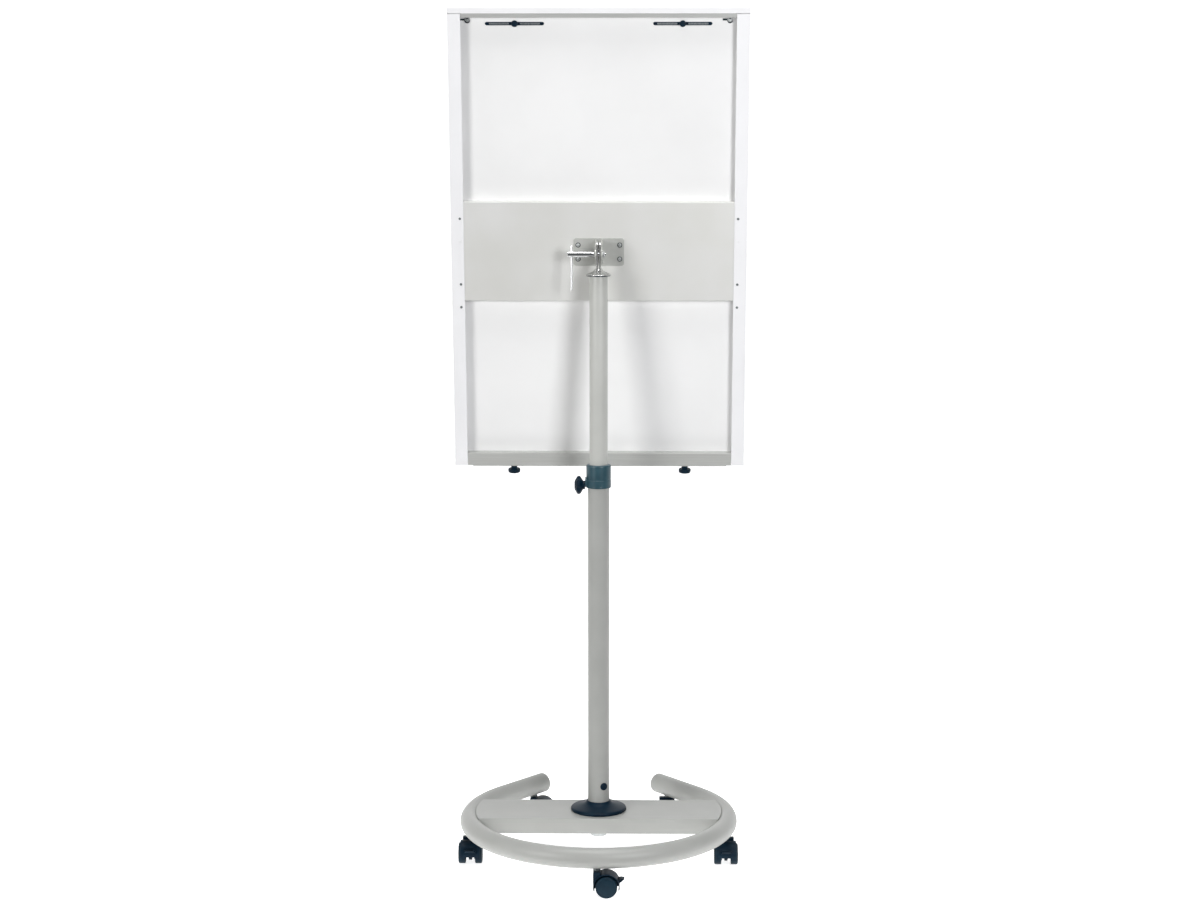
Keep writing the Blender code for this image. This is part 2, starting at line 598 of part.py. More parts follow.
def make_clamp_bar(board, bar_material, bracket_material):
    """The pad clamp along the top: a C-shaped bar hinged between two brackets."""
    pivot_y = PANEL_FRONT - CLAMP_PIVOT_DEPTH
    pivot = make_empty("clamp_bar_pivot", (0, pivot_y, CLAMP_PIVOT_HEIGHT), parent=board)
    half = 0.2885
    rest = CLAMP_PIVOT_DEPTH - GAP
    wall = 0.002
    outer = [(0.0065, 0.0040), (-0.0060, 0.0040), (-0.0080, 0.0020), (-0.0080, -0.0310),
             (-0.0050, -0.0340), (rest, -0.0340)]
    inner = [(rest, -0.0320), (-0.0042, -0.0320), (-0.0060, -0.0302), (-0.0060, 0.0012),
             (-0.0052, 0.0020), (0.0065, 0.0020)]
    bar = add_object("clamp_bar", extrude_x(outer + inner, -half, half), bar_material, pivot)
    end = outer[:-1] + [(rest, -0.0340), (rest, -0.0320), (0.0065, -0.0100)]
    for side, label in ((1.0, "right"), (-1.0, "left")):
        near = side * (half - 2 * wall)
        far = side * half
        cheek = extrude_x(end, min(near, far), max(near, far))
        combine(bar, add_cutter("clamp_bar_end_" + label, cheek, pivot), "UNION")
        hole = rod(0.0028, -0.008, 0.008, 12)
        combine(bar, add_cutter("clamp_bar_bore_" + label, hole, pivot, (side * half, 0, 0),
                                (0, radians(90.0), 0)), "DIFFERENCE")
        make_clamp_bracket(board, pivot_y, side, label, half, bracket_material)


def make_clamp_bracket(board, pivot_y, side, label, bar_half, material):
    """An ear on the panel's front with the hinge pin, and an eyelet through to the rear."""
    x = side * CLAMP_BRACKET_SPAN
    near = side * (bar_half + 0.0030)
    far = side * (bar_half + 0.0120)
    front = PANEL_FRONT - GAP
    eye_height = CLAMP_PIVOT_HEIGHT - 0.004
    outline = [(front, CLAMP_PIVOT_HEIGHT - 0.010), (front, CLAMP_PIVOT_HEIGHT + 0.006)]
    outline += arc((pivot_y, CLAMP_PIVOT_HEIGHT), 0.0055, pi / 2, 3 * pi / 2, 8)
    bracket = add_object("clamp_bar_bracket_" + label, extrude_x(outline, min(near, far), max(near, far)),
                         material, board)
    pin = rod(0.0025, 0.0, 0.0105, 12)
    turn = Euler((0.0, radians(-90.0 * side), 0.0))
    combine(bracket, add_cutter("hinge_pin_" + label, pin, board,
                                (near + side * 0.001, pivot_y, CLAMP_PIVOT_HEIGHT), turn), "UNION")
    rear = PANEL_REAR + GAP
    stem = lathe([(0.0040, -0.002), (0.0040, rear - front), (0.0060, rear - front),
                  (0.0060, rear - front + 0.0020), (0.0030, rear - front + 0.0020),
                  (0.0030, rear - front + 0.0005)], 12)
    combine(bracket, add_cutter("bracket_eyelet_" + label, stem, board, (x, front, eye_height),
                                (radians(-90.0), 0, 0)), "UNION")


def make_pad_hooks(board, hook_material, disc_material):
    turn = (radians(-90.0), 0.0, 0.0)
    shank = HOOK_SLOT_WIDTH / 2 - 0.0004
    through = PANEL_SHEET + GAP
    for side, label in ((1.0, "right"), (-1.0, "left")):
        place = (side * HOOK_SPAN, PANEL_FRONT, HOOK_HEIGHT)
        add_object("pad_hook_" + label, lathe([
            (0.0030, -0.0110), (0.0040, -0.0100), (0.0040, -0.0020), (0.0070, -0.0020), (0.0070, -GAP),
            (shank, -GAP), (shank, through - GAP), (0.0022, through - GAP), (0.0022, through + 0.0035)],
            12), hook_material, board, place, turn)
        add_object("hook_disc_" + label, sleeve(0.0075, 0.0025, through, through + 0.0040, 16),
                   disc_material, board, place, turn)


# ---- castors ------------------------------------------------------------------------------
def castor_hood_parts(brake):
    """Shell over both wheels, web between them, block and socket for the stem, axle, brake lugs."""
    axle = (CASTOR_TRAIL, WHEEL_RADIUS)
    first = radians(-14.0)
    last = radians(196.0)
    shell = arc(axle, HOOD_RADIUS, first, last, 22) + arc(axle, HOOD_RADIUS - HOOD_WALL, last, first, 18)
    half = HOOD_WIDTH / 2
    middle = HOOD_RADIUS - HOOD_WALL / 2
    web = arc(axle, middle, first, last, 20) + arc(axle, 0.0170, radians(205.0), radians(335.0), 8)
    add = []
    web_half = 0.0036
    add.append(("web_", extrude_y(web, -web_half, web_half), (0, 0, 0), (0, 0, 0)))
    left = CASTOR_TRAIL - HOOD_RADIUS
    block_top = 0.0580
    block = [(0.0095, block_top), (left + 0.0015, block_top), (left, block_top - 0.0015), (left, 0.0290)]
    block += arc(axle, middle, radians(172.0), radians(116.0), 8)
    block_half = 0.0190
    add.append(("block_", extrude_y(block, -block_half, block_half), (0, 0, 0), (0, 0, 0)))
    socket = rod(STEM_RADIUS + 0.0023, STEM_FOOT - 0.004, block_top - 0.0005)
    add.append(("socket_", socket, (0, 0, 0), (0, 0, 0)))
    pin = rod(0.0030, -half + 0.0005, half - 0.0005, 12)
    add.append(("axle_", pin, (axle[0], 0, axle[1]), (radians(90.0), 0, 0)))
    if brake:
        hinge = lever_hinge()
        reach = HOOD_RADIUS - 0.0015
        root = (axle[0] + reach * cos(LEVER_RISE), axle[1] + reach * sin(LEVER_RISE))
        lug_half = 0.0035
        lug = [(root[0] - lug_half * sin(LEVER_RISE), root[1] + lug_half * cos(LEVER_RISE)),
               (root[0] + lug_half * sin(LEVER_RISE), root[1] - lug_half * cos(LEVER_RISE))]
        lug += arc(hinge, 0.0030, LEVER_RISE - pi / 2, LEVER_RISE + pi / 2, 6)
        for side, label in ((1.0, "right_"), (-1.0, "left_")):
            near = side * (LEVER_HALF_WIDTH + GAP)
            far = side * (LEVER_HALF_WIDTH + 0.0030)
            add.append(("lug_" + label, extrude_y(lug, min(near, far), max(near, far)), (0, 0, 0), (0, 0, 0)))
        bar = rod(LEVER_PIN_RADIUS, -LEVER_HALF_WIDTH - 0.001, LEVER_HALF_WIDTH + 0.001, 8)
        add.append(("lever_pin_", bar, (hinge[0], 0, hinge[1]), (radians(90.0), 0, 0)))
    return extrude_y(shell, -half, half), add


def lever_hinge():
    reach = HOOD_RADIUS + 0.0040
    return CASTOR_TRAIL + reach * cos(LEVER_RISE), WHEEL_RADIUS + reach * sin(LEVER_RISE)


def make_castor(name, castor, plastic, tyre, metal):
    place = castor_stem_place(castor)
    swivel = make_empty("castor_swivel_" + name, place, (0, 0, castor["heading"]))
    add_object("castor_stem_" + name, lathe([
        (0.0045, STEM_FOOT), (STEM_RADIUS, STEM_FOOT + 0.001), (STEM_RADIUS, RING_UNDERSIDE),
        (SOCKET_RADIUS, RING_UNDERSIDE), (SOCKET_RADIUS, RING_UNDERSIDE + 0.0300),
        (SOCKET_RADIUS - 0.0015, RING_UNDERSIDE + 0.0330)], 12), metal, None, place)
    shell, extras = castor_hood_parts(castor["brake"])
    hood = add_object("castor_hood_" + name, shell, plastic, swivel)
    for label, mesh, location, rotation in extras:
        combine(hood, add_cutter(label + name, mesh, swivel, location, rotation), "UNION")
    bore = rod(STEM_RADIUS + GAP, STEM_FOOT - 0.001, RING_UNDERSIDE + 0.010)
    combine(hood, add_cutter("stem_bore_" + name, bore, swivel), "DIFFERENCE")
    width = CASTOR_WIDTH / 2 - WHEEL_INNER_FACE
    profile = [
        (0.0033, 0.0), (0.0230, 0.0), (WHEEL_RADIUS, 0.0012), (WHEEL_RADIUS, width - 0.0045),
        (0.0228, width - 0.0012), (0.0180, width), (0.0033, width)]
    for side, label in ((1.0, "_a"), (-1.0, "_b")):
        add_object("castor_wheel_" + name + label, lathe(profile, hollow=True), tyre, swivel,
                   (CASTOR_TRAIL, side * WHEEL_INNER_FACE, WHEEL_RADIUS), (radians(-90.0 * side), 0, 0))
    if castor["brake"]:
        make_brake_lever(name, swivel, plastic)


def make_brake_lever(name, swivel, plastic):
    """A foot tab that hinges on the castor's hood."""
    hinge = lever_hinge()
    outline = arc((0, 0), 0.0030, LEVER_RISE + pi / 2, LEVER_RISE + 3 * pi / 2, 6)
    tip = 0.0095
    for along, across in ((0.0030, -0.0046), (tip - 0.0012, -0.0012), (tip, 0.0), (tip - 0.0012, 0.0012),
                          (0.0030, 0.0046)):
        outline.append((along * cos(LEVER_RISE) - across * sin(LEVER_RISE),
                        along * sin(LEVER_RISE) + across * cos(LEVER_RISE)))
    lever = add_object("brake_lever_" + name, extrude_y(outline, -LEVER_HALF_WIDTH, LEVER_HALF_WIDTH),
                       plastic, swivel, (hinge[0], 0, hinge[1]))
    bore = rod(LEVER_PIN_RADIUS + GAP, -0.030, 0.030, 8)
    combine(lever, add_cutter("lever_bore_" + name, bore, swivel, (hinge[0], 0, hinge[1]),
                              (radians(90.0), 0, 0)), "DIFFERENCE")


# ---- assembly -----------------------------------------------------------------------------
def build():
    clear_scene()
    grey = make_material("grey_coated_steel", (0.42, 0.43, 0.41), 0.45)
    white = make_material("white_coated_steel", (0.86, 0.86, 0.87), 0.40)
    board_white = make_material("white_enamelled_steel", (0.88, 0.88, 0.87), 0.20)
    plate_grey = make_material("light_grey_coated_steel", (0.62, 0.62, 0.60), 0.50)
    black = make_material("black_plastic", (0.012, 0.017, 0.024), 0.40)
    tyre = make_material("black_tyre_plastic", (0.010, 0.014, 0.020), 0.50)
    chrome = make_material("chromed_steel", (0.78, 0.78, 0.78), 0.15, 1.0)
    zinc = make_material("zinc_plated_steel", (0.62, 0.63, 0.62), 0.30, 1.0)
    rail_grey = make_material("grey_aluminium", (0.44, 0.44, 0.43), 0.40, 1.0)
    bush = make_material("natural_plastic", (0.75, 0.74, 0.70), 0.50)

    make_ring(grey)
    make_crossbar(grey)
    make_mast_foot(zinc, black)
    make_lower_mast(grey, black, black)
    make_upper_mast(grey, grey, bush)
    make_tilt_clamp(chrome)

    board = make_empty("board_frame", (0, 0, PIVOT_HEIGHT), (-LEAN, 0, 0))
    plate, rear, middle = make_tilt_bracket(board, zinc)
    back_plate = make_back_plate(board, plate_grey)
    make_bracket_screws(board, plate, back_plate, rear, middle, zinc)
    make_panel(board, board_white)
    make_side_channels(board, white)
    make_top_rail(board, white)
    rail = make_bottom_rail(board, rail_grey)
    make_pen_tray(board, rail, plate_grey, black)
    make_clamp_bar(board, rail_grey, zinc)
    make_pad_hooks(board, black, black)

    for name, castor in CASTORS.items():
        make_castor(name, castor, black, tyre, zinc)


build()
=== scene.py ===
import json
from math import atan2, cos, pi, radians, sin

import bpy
from mathutils import Matrix, Vector


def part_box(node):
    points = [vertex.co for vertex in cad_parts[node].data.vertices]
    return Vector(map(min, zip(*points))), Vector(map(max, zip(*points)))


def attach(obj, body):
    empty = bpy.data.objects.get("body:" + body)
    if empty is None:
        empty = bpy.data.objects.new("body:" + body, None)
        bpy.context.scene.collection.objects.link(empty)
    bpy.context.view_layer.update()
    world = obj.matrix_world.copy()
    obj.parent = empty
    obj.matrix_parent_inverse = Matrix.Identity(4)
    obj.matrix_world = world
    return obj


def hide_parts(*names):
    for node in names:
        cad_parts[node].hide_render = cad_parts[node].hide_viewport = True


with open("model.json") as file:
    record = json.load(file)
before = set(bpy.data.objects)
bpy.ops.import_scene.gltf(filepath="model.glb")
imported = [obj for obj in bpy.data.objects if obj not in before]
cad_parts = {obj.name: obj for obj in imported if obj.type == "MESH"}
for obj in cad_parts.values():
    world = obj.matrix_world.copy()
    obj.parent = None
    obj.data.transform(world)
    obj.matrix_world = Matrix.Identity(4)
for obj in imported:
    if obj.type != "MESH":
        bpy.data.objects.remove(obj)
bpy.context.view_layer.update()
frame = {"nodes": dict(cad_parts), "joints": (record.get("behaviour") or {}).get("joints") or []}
nodes = frame["nodes"]
joints = {joint["name"]: joint for joint in frame["joints"]}
pivot = Vector(joints["board_tilt"]["pos_m"])
boardUp = Vector(joints["tray_knob_left_turn"]["axis"])
boardPlace = Matrix.Translation(pivot) @ Matrix.Rotation(-atan2(boardUp.y, boardUp.z), 4, "X")
rightHand = {"right": 1.0, "left": -1.0}  # sides as seen by a person in front of the board
clearance = 0.0003  # between pieces that touch
print("frame loaded:", len(nodes), "nodes")


# modelling tools
def clearSelection():  # every operator acts on what is selected
    if bpy.context.mode != "OBJECT":
        bpy.ops.object.mode_set(mode="OBJECT")
    bpy.ops.object.select_all(action="DESELECT")


def pickOnly(piece):
    clearSelection()
    piece.select_set(True)
    bpy.context.view_layer.objects.active = piece


def localBox(node, place):  # a node's box along the axes of a tilted group
    inverse = place.inverted()
    points = [inverse @ vertex.co for vertex in nodes[node].data.vertices]
    low = Vector([min(point[axis] for point in points) for axis in range(3)])
    high = Vector([max(point[axis] for point in points) for axis in range(3)])
    return low, high


def mergeAndFaceOut():
    bpy.ops.mesh.select_all(action="SELECT")
    bpy.ops.mesh.remove_doubles(threshold=0.000002)
    bpy.ops.mesh.normals_make_consistent(inside=False)
    bpy.ops.object.mode_set(mode="OBJECT")


def drawLine(name, points):  # one vertex, extruded from point to point, left in edit mode
    clearSelection()
    bpy.ops.mesh.primitive_plane_add(size=0.001, location=(0, 0, 0))
    piece = bpy.context.object
    piece.name = name
    piece.data.name = name
    bpy.ops.object.mode_set(mode="EDIT")
    bpy.ops.mesh.merge(type="CENTER")
    bpy.ops.transform.translate(value=points[0])
    for here, there in zip(points, points[1:]):
        step = Vector(there) - Vector(here)
        bpy.ops.mesh.extrude_vertices_move(TRANSFORM_OT_translate={"value": step})
    bpy.ops.mesh.select_all(action="SELECT")
    return piece


def turnProfile(name, profile, steps=64):  # (radius, height) pairs spun round Z
    piece = drawLine(name, [(radius, 0.0, height) for radius, height in profile])
    bpy.ops.mesh.spin(steps=steps, angle=2 * pi, center=(0, 0, 0), axis=(0, 0, 1))
    mergeAndFaceOut()
    return piece


def extrudeOutline(name, outline, along):  # a closed outline filled and pulled out into a solid
    piece = drawLine(name, outline)
    bpy.ops.mesh.edge_face_add()
    bpy.ops.mesh.extrude_region_move(TRANSFORM_OT_translate={"value": along})
    mergeAndFaceOut()
    return piece


def shapeWith(piece, kind, settings):
    pickOnly(piece)
    modifier = piece.modifiers.new(kind.lower(), kind)
    for key, value in settings.items():
        setattr(modifier, key, value)
    bpy.ops.object.modifier_apply(modifier=modifier.name)


def roundEdges(piece, width, segments=3, angle=35.0):
    shapeWith(piece, "BEVEL", {"width": width, "segments": segments, "limit_method": "ANGLE",
                               "angle_limit": radians(angle), "harden_normals": False})


def thicken(piece, sheet):  # gives a folded sheet its thickness on the inner side
    flat = piece.data.copy()
    size = sum(piece.dimensions)
    shapeWith(piece, "SOLIDIFY", {"thickness": sheet, "offset": -1.0, "use_even_offset": True})
    bpy.context.view_layer.update()
    if sum(piece.dimensions) > size + 1.5 * sheet:
        piece.data = flat
        shapeWith(piece, "SOLIDIFY", {"thickness": sheet, "offset": 1.0, "use_even_offset": True})


def foldSheet(name, line, along, sheet, foldRadius):  # a line pulled into a folded sheet
    piece = drawLine(name, line)
    bpy.ops.mesh.extrude_region_move(TRANSFORM_OT_translate={"value": along})
    mergeAndFaceOut()
    roundEdges(piece, foldRadius, 4)
    thicken(piece, sheet)
    return piece


def blockBetween(name, low, high):
    clearSelection()
    low, high = Vector(low), Vector(high)
    bpy.ops.mesh.primitive_cube_add(size=1.0, location=(low + high) / 2, scale=high - low)
    piece = bpy.context.object
    piece.name = name
    piece.data.name = name
    bpy.ops.object.transform_apply(location=True, rotation=True, scale=True)
    return piece


def placePiece(piece, place):
    pickOnly(piece)
    piece.matrix_world = place @ piece.matrix_world
    bpy.ops.object.transform_apply(location=True, rotation=True, scale=True)


def cutAway(piece, cutter):  # the cutter is used up
    shapeWith(piece, "BOOLEAN", {"operation": "DIFFERENCE", "solver": "EXACT", "object": cutter})
    bpy.data.objects.remove(cutter)


def weldOn(piece, other):
    shapeWith(piece, "BOOLEAN", {"operation": "UNION", "solver": "EXACT", "object": other})
    bpy.data.objects.remove(other)


def boreAcross(piece, radius, place=(0, 0, 0)):  # a round hole through the piece along X
    clearSelection()
    bpy.ops.mesh.primitive_cylinder_add(vertices=32, radius=radius, depth=0.03, location=place,
                                        rotation=(0, radians(90.0), 0))
    cutAway(piece, bpy.context.object)


def openUnderside(piece):  # deletes the faces that look down
    pickOnly(piece)
    bpy.ops.object.mode_set(mode="EDIT")
    bpy.ops.mesh.select_mode(type="FACE")
    bpy.ops.mesh.select_all(action="DESELECT")
    bpy.ops.object.mode_set(mode="OBJECT")
    for face in piece.data.polygons:
        face.select = face.normal.z < -0.9
    bpy.ops.object.mode_set(mode="EDIT")
    bpy.ops.mesh.delete(type="FACE")
    bpy.ops.mesh.select_mode(type="VERT")
    bpy.ops.object.mode_set(mode="OBJECT")


def copyPiece(piece, name):  # a copy with its own mesh
    pickOnly(piece)
    bpy.ops.object.duplicate()
    twin = bpy.context.object
    twin.name = name
    twin.data.name = name
    return twin


def mirrorPiece(piece, name):  # the same piece for the other side
    twin = copyPiece(piece, name)
    bpy.ops.object.mode_set(mode="EDIT")
    bpy.ops.mesh.select_all(action="SELECT")
    bpy.ops.transform.resize(value=(-1, 1, 1), center_override=(0, 0, 0))
    mergeAndFaceOut()
    return twin


def arcPoints(center, radius, start, end, steps):
    turns = [radians(start + (end - start) * index / steps) for index in range(steps + 1)]
    return [(center[0] + radius * cos(turn), center[1] + radius * sin(turn)) for turn in turns]


def settle(piece, material, body, replaced=(), place=None, smooth=35.0):
    if place:  # a piece is finished where it was made, then put in its place on its body
        placePiece(piece, place)
    pickOnly(piece)
    bpy.ops.object.shade_smooth_by_angle(angle=radians(smooth))
    shapeWith(piece, "WEIGHTED_NORMAL", {"keep_sharp": True, "weight": 60})  # flat faces stay flat
    piece.data.materials.clear()
    piece.data.materials.append(material)
    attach(piece, body)
    if replaced:
        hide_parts(*replaced)
    return piece


# materials
def fromHex(code):  # sRGB hex to the linear colour that a shader takes
    values = [int(code[place:place + 2], 16) / 255 for place in (0, 2, 4)]
    return (*[v / 12.92 if v <= 0.04045 else ((v + 0.055) / 1.055) ** 2.4 for v in values], 1.0)


def addNode(tree, kind, settings=None, links=None):
    node = tree.nodes.new(kind)
    for key, value in (settings or {}).items():
        if key in node.inputs:
            node.inputs[key].default_value = value
        else:
            setattr(node, key, value)
    for key, source in (links or {}).items():
        tree.links.new(source, node.inputs[key])
    return node


def makeFinish(name, look):  # a finish with colour drift, uneven gloss and a fine surface grain
    material = bpy.data.materials.new(name)
    material.use_nodes = True
    tree = material.node_tree
    shader = tree.nodes["Principled BSDF"]
    for key, value in look["shader"].items():
        shader.inputs[key].default_value = value
    place = addNode(tree, "ShaderNodeTexCoord")
    stretch = addNode(tree, "ShaderNodeMapping", {"Scale": look.get("stretch", (1.0, 1.0, 1.0))},
                      {"Vector": place.outputs["Object"]})
    drift = addNode(tree, "ShaderNodeTexNoise", {"Scale": 1.0 / look["driftSize"], "Detail": 3.0},
                    {"Vector": stretch.outputs["Vector"]})
    tint = addNode(tree, "ShaderNodeValToRGB", None, {"Fac": drift.outputs["Fac"]})
    tint.color_ramp.elements[0].position = 0.35
    tint.color_ramp.elements[1].position = 0.65
    tint.color_ramp.elements[0].color = fromHex(look["colours"][0])
    tint.color_ramp.elements[1].color = fromHex(look["colours"][1])
    tree.links.new(tint.outputs["Color"], shader.inputs["Base Color"])
    smoothest, roughest = look["roughness"]
    gloss = addNode(tree, "ShaderNodeMapRange", {"To Min": smoothest, "To Max": roughest},
                    {"Value": drift.outputs["Fac"]})
    tree.links.new(gloss.outputs["Result"], shader.inputs["Roughness"])
    grain = addNode(tree, "ShaderNodeTexNoise", {"Scale": 1.0 / look["grainSize"], "Detail": 2.0},
                    {"Vector": stretch.outputs["Vector"]})
    relief = {"Strength": look["grainDepth"], "Distance": look["grainSize"] / 4}
    bump = addNode(tree, "ShaderNodeBump", relief, {"Height": grain.outputs["Fac"]})
    tree.links.new(bump.outputs["Normal"], shader.inputs["Normal"])
    return material


finishes = {
    # epoxy powder coat on steel tube: satin, faint orange peel about 1.5 mm across
    "greyPowderCoat": {"colours": ("a3a4a1", "a8a9a6"), "roughness": (0.38, 0.46), "driftSize": 0.09,
                       "grainSize": 0.0015, "grainDepth": 0.10, "shader": {"IOR": 1.5}},
    # the same coat on the inner tube, slightly warmer and glossier
    "mastPowderCoat": {"colours": ("babbb7", "bfc0bc"), "roughness": (0.30, 0.36), "driftSize": 0.09,
                       "grainSize": 0.0015, "grainDepth": 0.06, "shader": {"IOR": 1.5}},
    # white powder coat on the folded edge profiles
    "whitePowderCoat": {"colours": ("efeff1", "f2f2f4"), "roughness": (0.36, 0.42), "driftSize": 0.12,
                        "grainSize": 0.0015, "grainDepth": 0.06, "shader": {"IOR": 1.5}},
    # white enamelled steel sheet: smooth, with slow waves in the sheet
    "whiteEnamel": {"colours": ("f0f0f0", "f4f4f4"), "roughness": (0.26, 0.34), "driftSize": 0.20,
                    "grainSize": 0.020, "grainDepth": 0.03, "shader": {"IOR": 1.5}},
    # light grey coil-coated sheet of the back plate: dull with a slight metallic sheen
    "greyCoatedSheet": {"colours": ("e8e8e4", "ececea"), "roughness": (0.42, 0.50), "driftSize": 0.15,
                        "grainSize": 0.0020, "grainDepth": 0.05, "shader": {"IOR": 1.5, "Metallic": 0.45}},
    # natural anodised aluminium extrusion: fine lines along its length
    "anodisedAluminium": {"colours": ("bebfbc", "c4c5c2"), "roughness": (0.40, 0.50), "driftSize": 0.004,
                          "grainSize": 0.0016, "grainDepth": 0.05, "stretch": (0.03, 1.0, 1.0),
                          "shader": {"Metallic": 0.35}},
    # the same alloy, bright drawn strip under the top rail
    "drawnAluminium": {"colours": ("b1b2b0", "b8b9b7"), "roughness": (0.44, 0.54), "driftSize": 0.004,
                       "grainSize": 0.0016, "grainDepth": 0.04, "stretch": (0.03, 1.0, 1.0),
                       "shader": {"Metallic": 0.15}},
    # nickel chrome on turned steel: near mirror with faint polishing haze
    "polishedChrome": {"colours": ("e2e3e4", "eaebec"), "roughness": (0.10, 0.16), "driftSize": 0.010,
                       "grainSize": 0.0010, "grainDepth": 0.01, "shader": {"Metallic": 1.0}},
    # thinner chrome on the drawn cross bar: the same plate over a brushed ground
    "satinChrome": {"colours": ("e6e7e8", "eeeff0"), "roughness": (0.30, 0.38), "driftSize": 0.010,
                    "grainSize": 0.0010, "grainDepth": 0.02, "shader": {"Metallic": 0.85}},
    # bright nickel on the mast's cast top cap
    "satinNickel": {"colours": ("b8b9b7", "c2c3c1"), "roughness": (0.20, 0.28), "driftSize": 0.012,
                    "grainSize": 0.0010, "grainDepth": 0.03, "shader": {"Metallic": 0.80}},
    # bright zinc plate on screws and pressed steel: uneven, slightly cloudy
    "zincPlate": {"colours": ("b9bcbc", "cdd0d0"), "roughness": (0.26, 0.40), "driftSize": 0.006,
                  "grainSize": 0.0010, "grainDepth": 0.05, "shader": {"Metallic": 0.9}},
    # zinc plate gone dull and painted darker as painted shade, on small flange screws, castor stems and slot
    # strips
    "dullAndShadedZinc": {"colours": ("6c7274", "848a8b"), "roughness": (0.34, 0.46), "driftSize": 0.003,
                 "grainSize": 0.0008, "grainDepth": 0.05, "shader": {"Metallic": 0.6}},
    # satin zinc on the pressed tilt bracket
    "bracketSteel": {"colours": ("bcbdb9", "c4c5c1"), "roughness": (0.38, 0.48), "driftSize": 0.020,
                     "grainSize": 0.0012, "grainDepth": 0.05, "shader": {"Metallic": 0.40}},
    # moulded black polyamide with a spark-eroded texture, blue-black in the light
    "blackPolyamide": {"colours": ("041b2b", "062232"), "roughness": (0.42, 0.52), "driftSize": 0.015,
                       "grainSize": 0.0008, "grainDepth": 0.12, "shader": {"Specular IOR Level": 0.16}},
    # the clamp collar's smoother moulding, with a soft shine; its colour is lighter than the other black
    # mouldings as painted sheen
    "smoothPolyamideWithPaintedSheen": {"colours": ("2a4853", "30505b"), "roughness": (0.28, 0.36), "driftSize": 0.015,
                        "grainSize": 0.0008, "grainDepth": 0.05, "shader": {"Specular IOR Level": 0.45}},
    # castor wheels: moulded polypropylene, smoother than the hoods
    "wheelPolypropylene": {"colours": ("05202e", "082634"), "roughness": (0.42, 0.52), "driftSize": 0.012,
                           "grainSize": 0.0010, "grainDepth": 0.06, "shader": {"Specular IOR Level": 0.20}},
    # unfilled nylon guide inside the mast
    "naturalNylon": {"colours": ("dedbd0", "e4e1d6"), "roughness": (0.45, 0.55), "driftSize": 0.010,
                     "grainSize": 0.0010, "grainDepth": 0.06, "shader": {"IOR": 1.53}},
    # black-oxidised steel of the corner hardware, and the same dark colour as painted shade in the rings
    # round the bracket screws
    "darkSteelAndPaintedShade": {"colours": ("1c262b", "2c373c"), "roughness": (0.35, 0.50), "driftSize": 0.004,
                  "grainSize": 0.0008, "grainDepth": 0.05, "shader": {"Metallic": 0.6}},
}
finish = {name: makeFinish(name, look) for name, look in finishes.items()}
print("materials made:", len(finish))


# camera, light and floor
studio = {"cameraSpot": (-0.083, 5.710, 1.821), "cameraDown": 8.50, "cameraTurn": 0.80, "lens": 74.88,
          "backdropWidth": 24.0, "backdropDepth": 9.0, "air": 0.10}

cameraTilt = radians(90.0 - studio["cameraDown"])
cameraHeading = radians(180.0 + studio["cameraTurn"])
clearSelection()
bpy.ops.object.camera_add(location=studio["cameraSpot"], rotation=(cameraTilt, 0.0, cameraHeading))
camera = bpy.context.object
camera.name = "studioCamera"
camera.data.lens = studio["lens"]
camera.data.sensor_width = 36.0
camera.data.clip_end = 60.0
bpy.context.scene.camera = camera
bpy.context.scene.view_settings.view_transform = "Standard"

lamps = {
    "leftSoftbox": {"spot": (3.35, 3.30, 1.85), "aim": (0.0, 0.0, 1.35), "size": (1.4, 1.4), "power": 98.0,
                    "colour": (1.0, 0.995, 0.98)},
    "rightSoftbox": {"spot": (-1.45, 2.68, 1.85), "aim": (0.0, 0.0, 1.35), "size": (0.80, 1.1), "power": 51.0,
                     "colour": (0.985, 0.99, 1.0)},
    "topSoftbox": {"spot": (0.0, 0.35, 4.30), "aim": (0.0, 0.0, 0.0), "size": (2.2, 1.6), "power": 96.0,
                   "colour": (1.0, 1.0, 1.0)},
}
for name, lamp in lamps.items():
    aim = Vector(lamp["aim"]) - Vector(lamp["spot"])
    bpy.ops.object.light_add(type="AREA", location=lamp["spot"],
                             rotation=aim.to_track_quat("-Z", "Y").to_euler())
    light = bpy.context.object
    light.name = name
    light.data.shape = "RECTANGLE"
    light.data.size, light.data.size_y = lamp["size"]
    light.data.energy = lamp["power"]
    light.data.color = lamp["colour"]

world = bpy.data.worlds.new("studioAir")
bpy.context.scene.world = world
world.use_nodes = True
world.node_tree.nodes["Background"].inputs["Color"].default_value = fromHex("f4f6fa")
world.node_tree.nodes["Background"].inputs["Strength"].default_value = studio["air"]

half = studio["backdropWidth"] / 2
depth = studio["backdropDepth"]
sweep = [(-half, 7.0, 0.0), (-half, 2.0 - depth / 2, 0.0), (-half, -depth + 1.0, 0.25), (-half, -depth, 1.0),
         (-half, -depth, 8.0)]
backdrop = drawLine("paperBackdrop", sweep)
bpy.ops.mesh.extrude_region_move(TRANSFORM_OT_translate={"value": (2 * half, 0, 0)})
bpy.ops.mesh.normals_make_consistent(inside=True)
bpy.ops.object.mode_set(mode="OBJECT")
roundEdges(backdrop, 0.8, 8, 5.0)

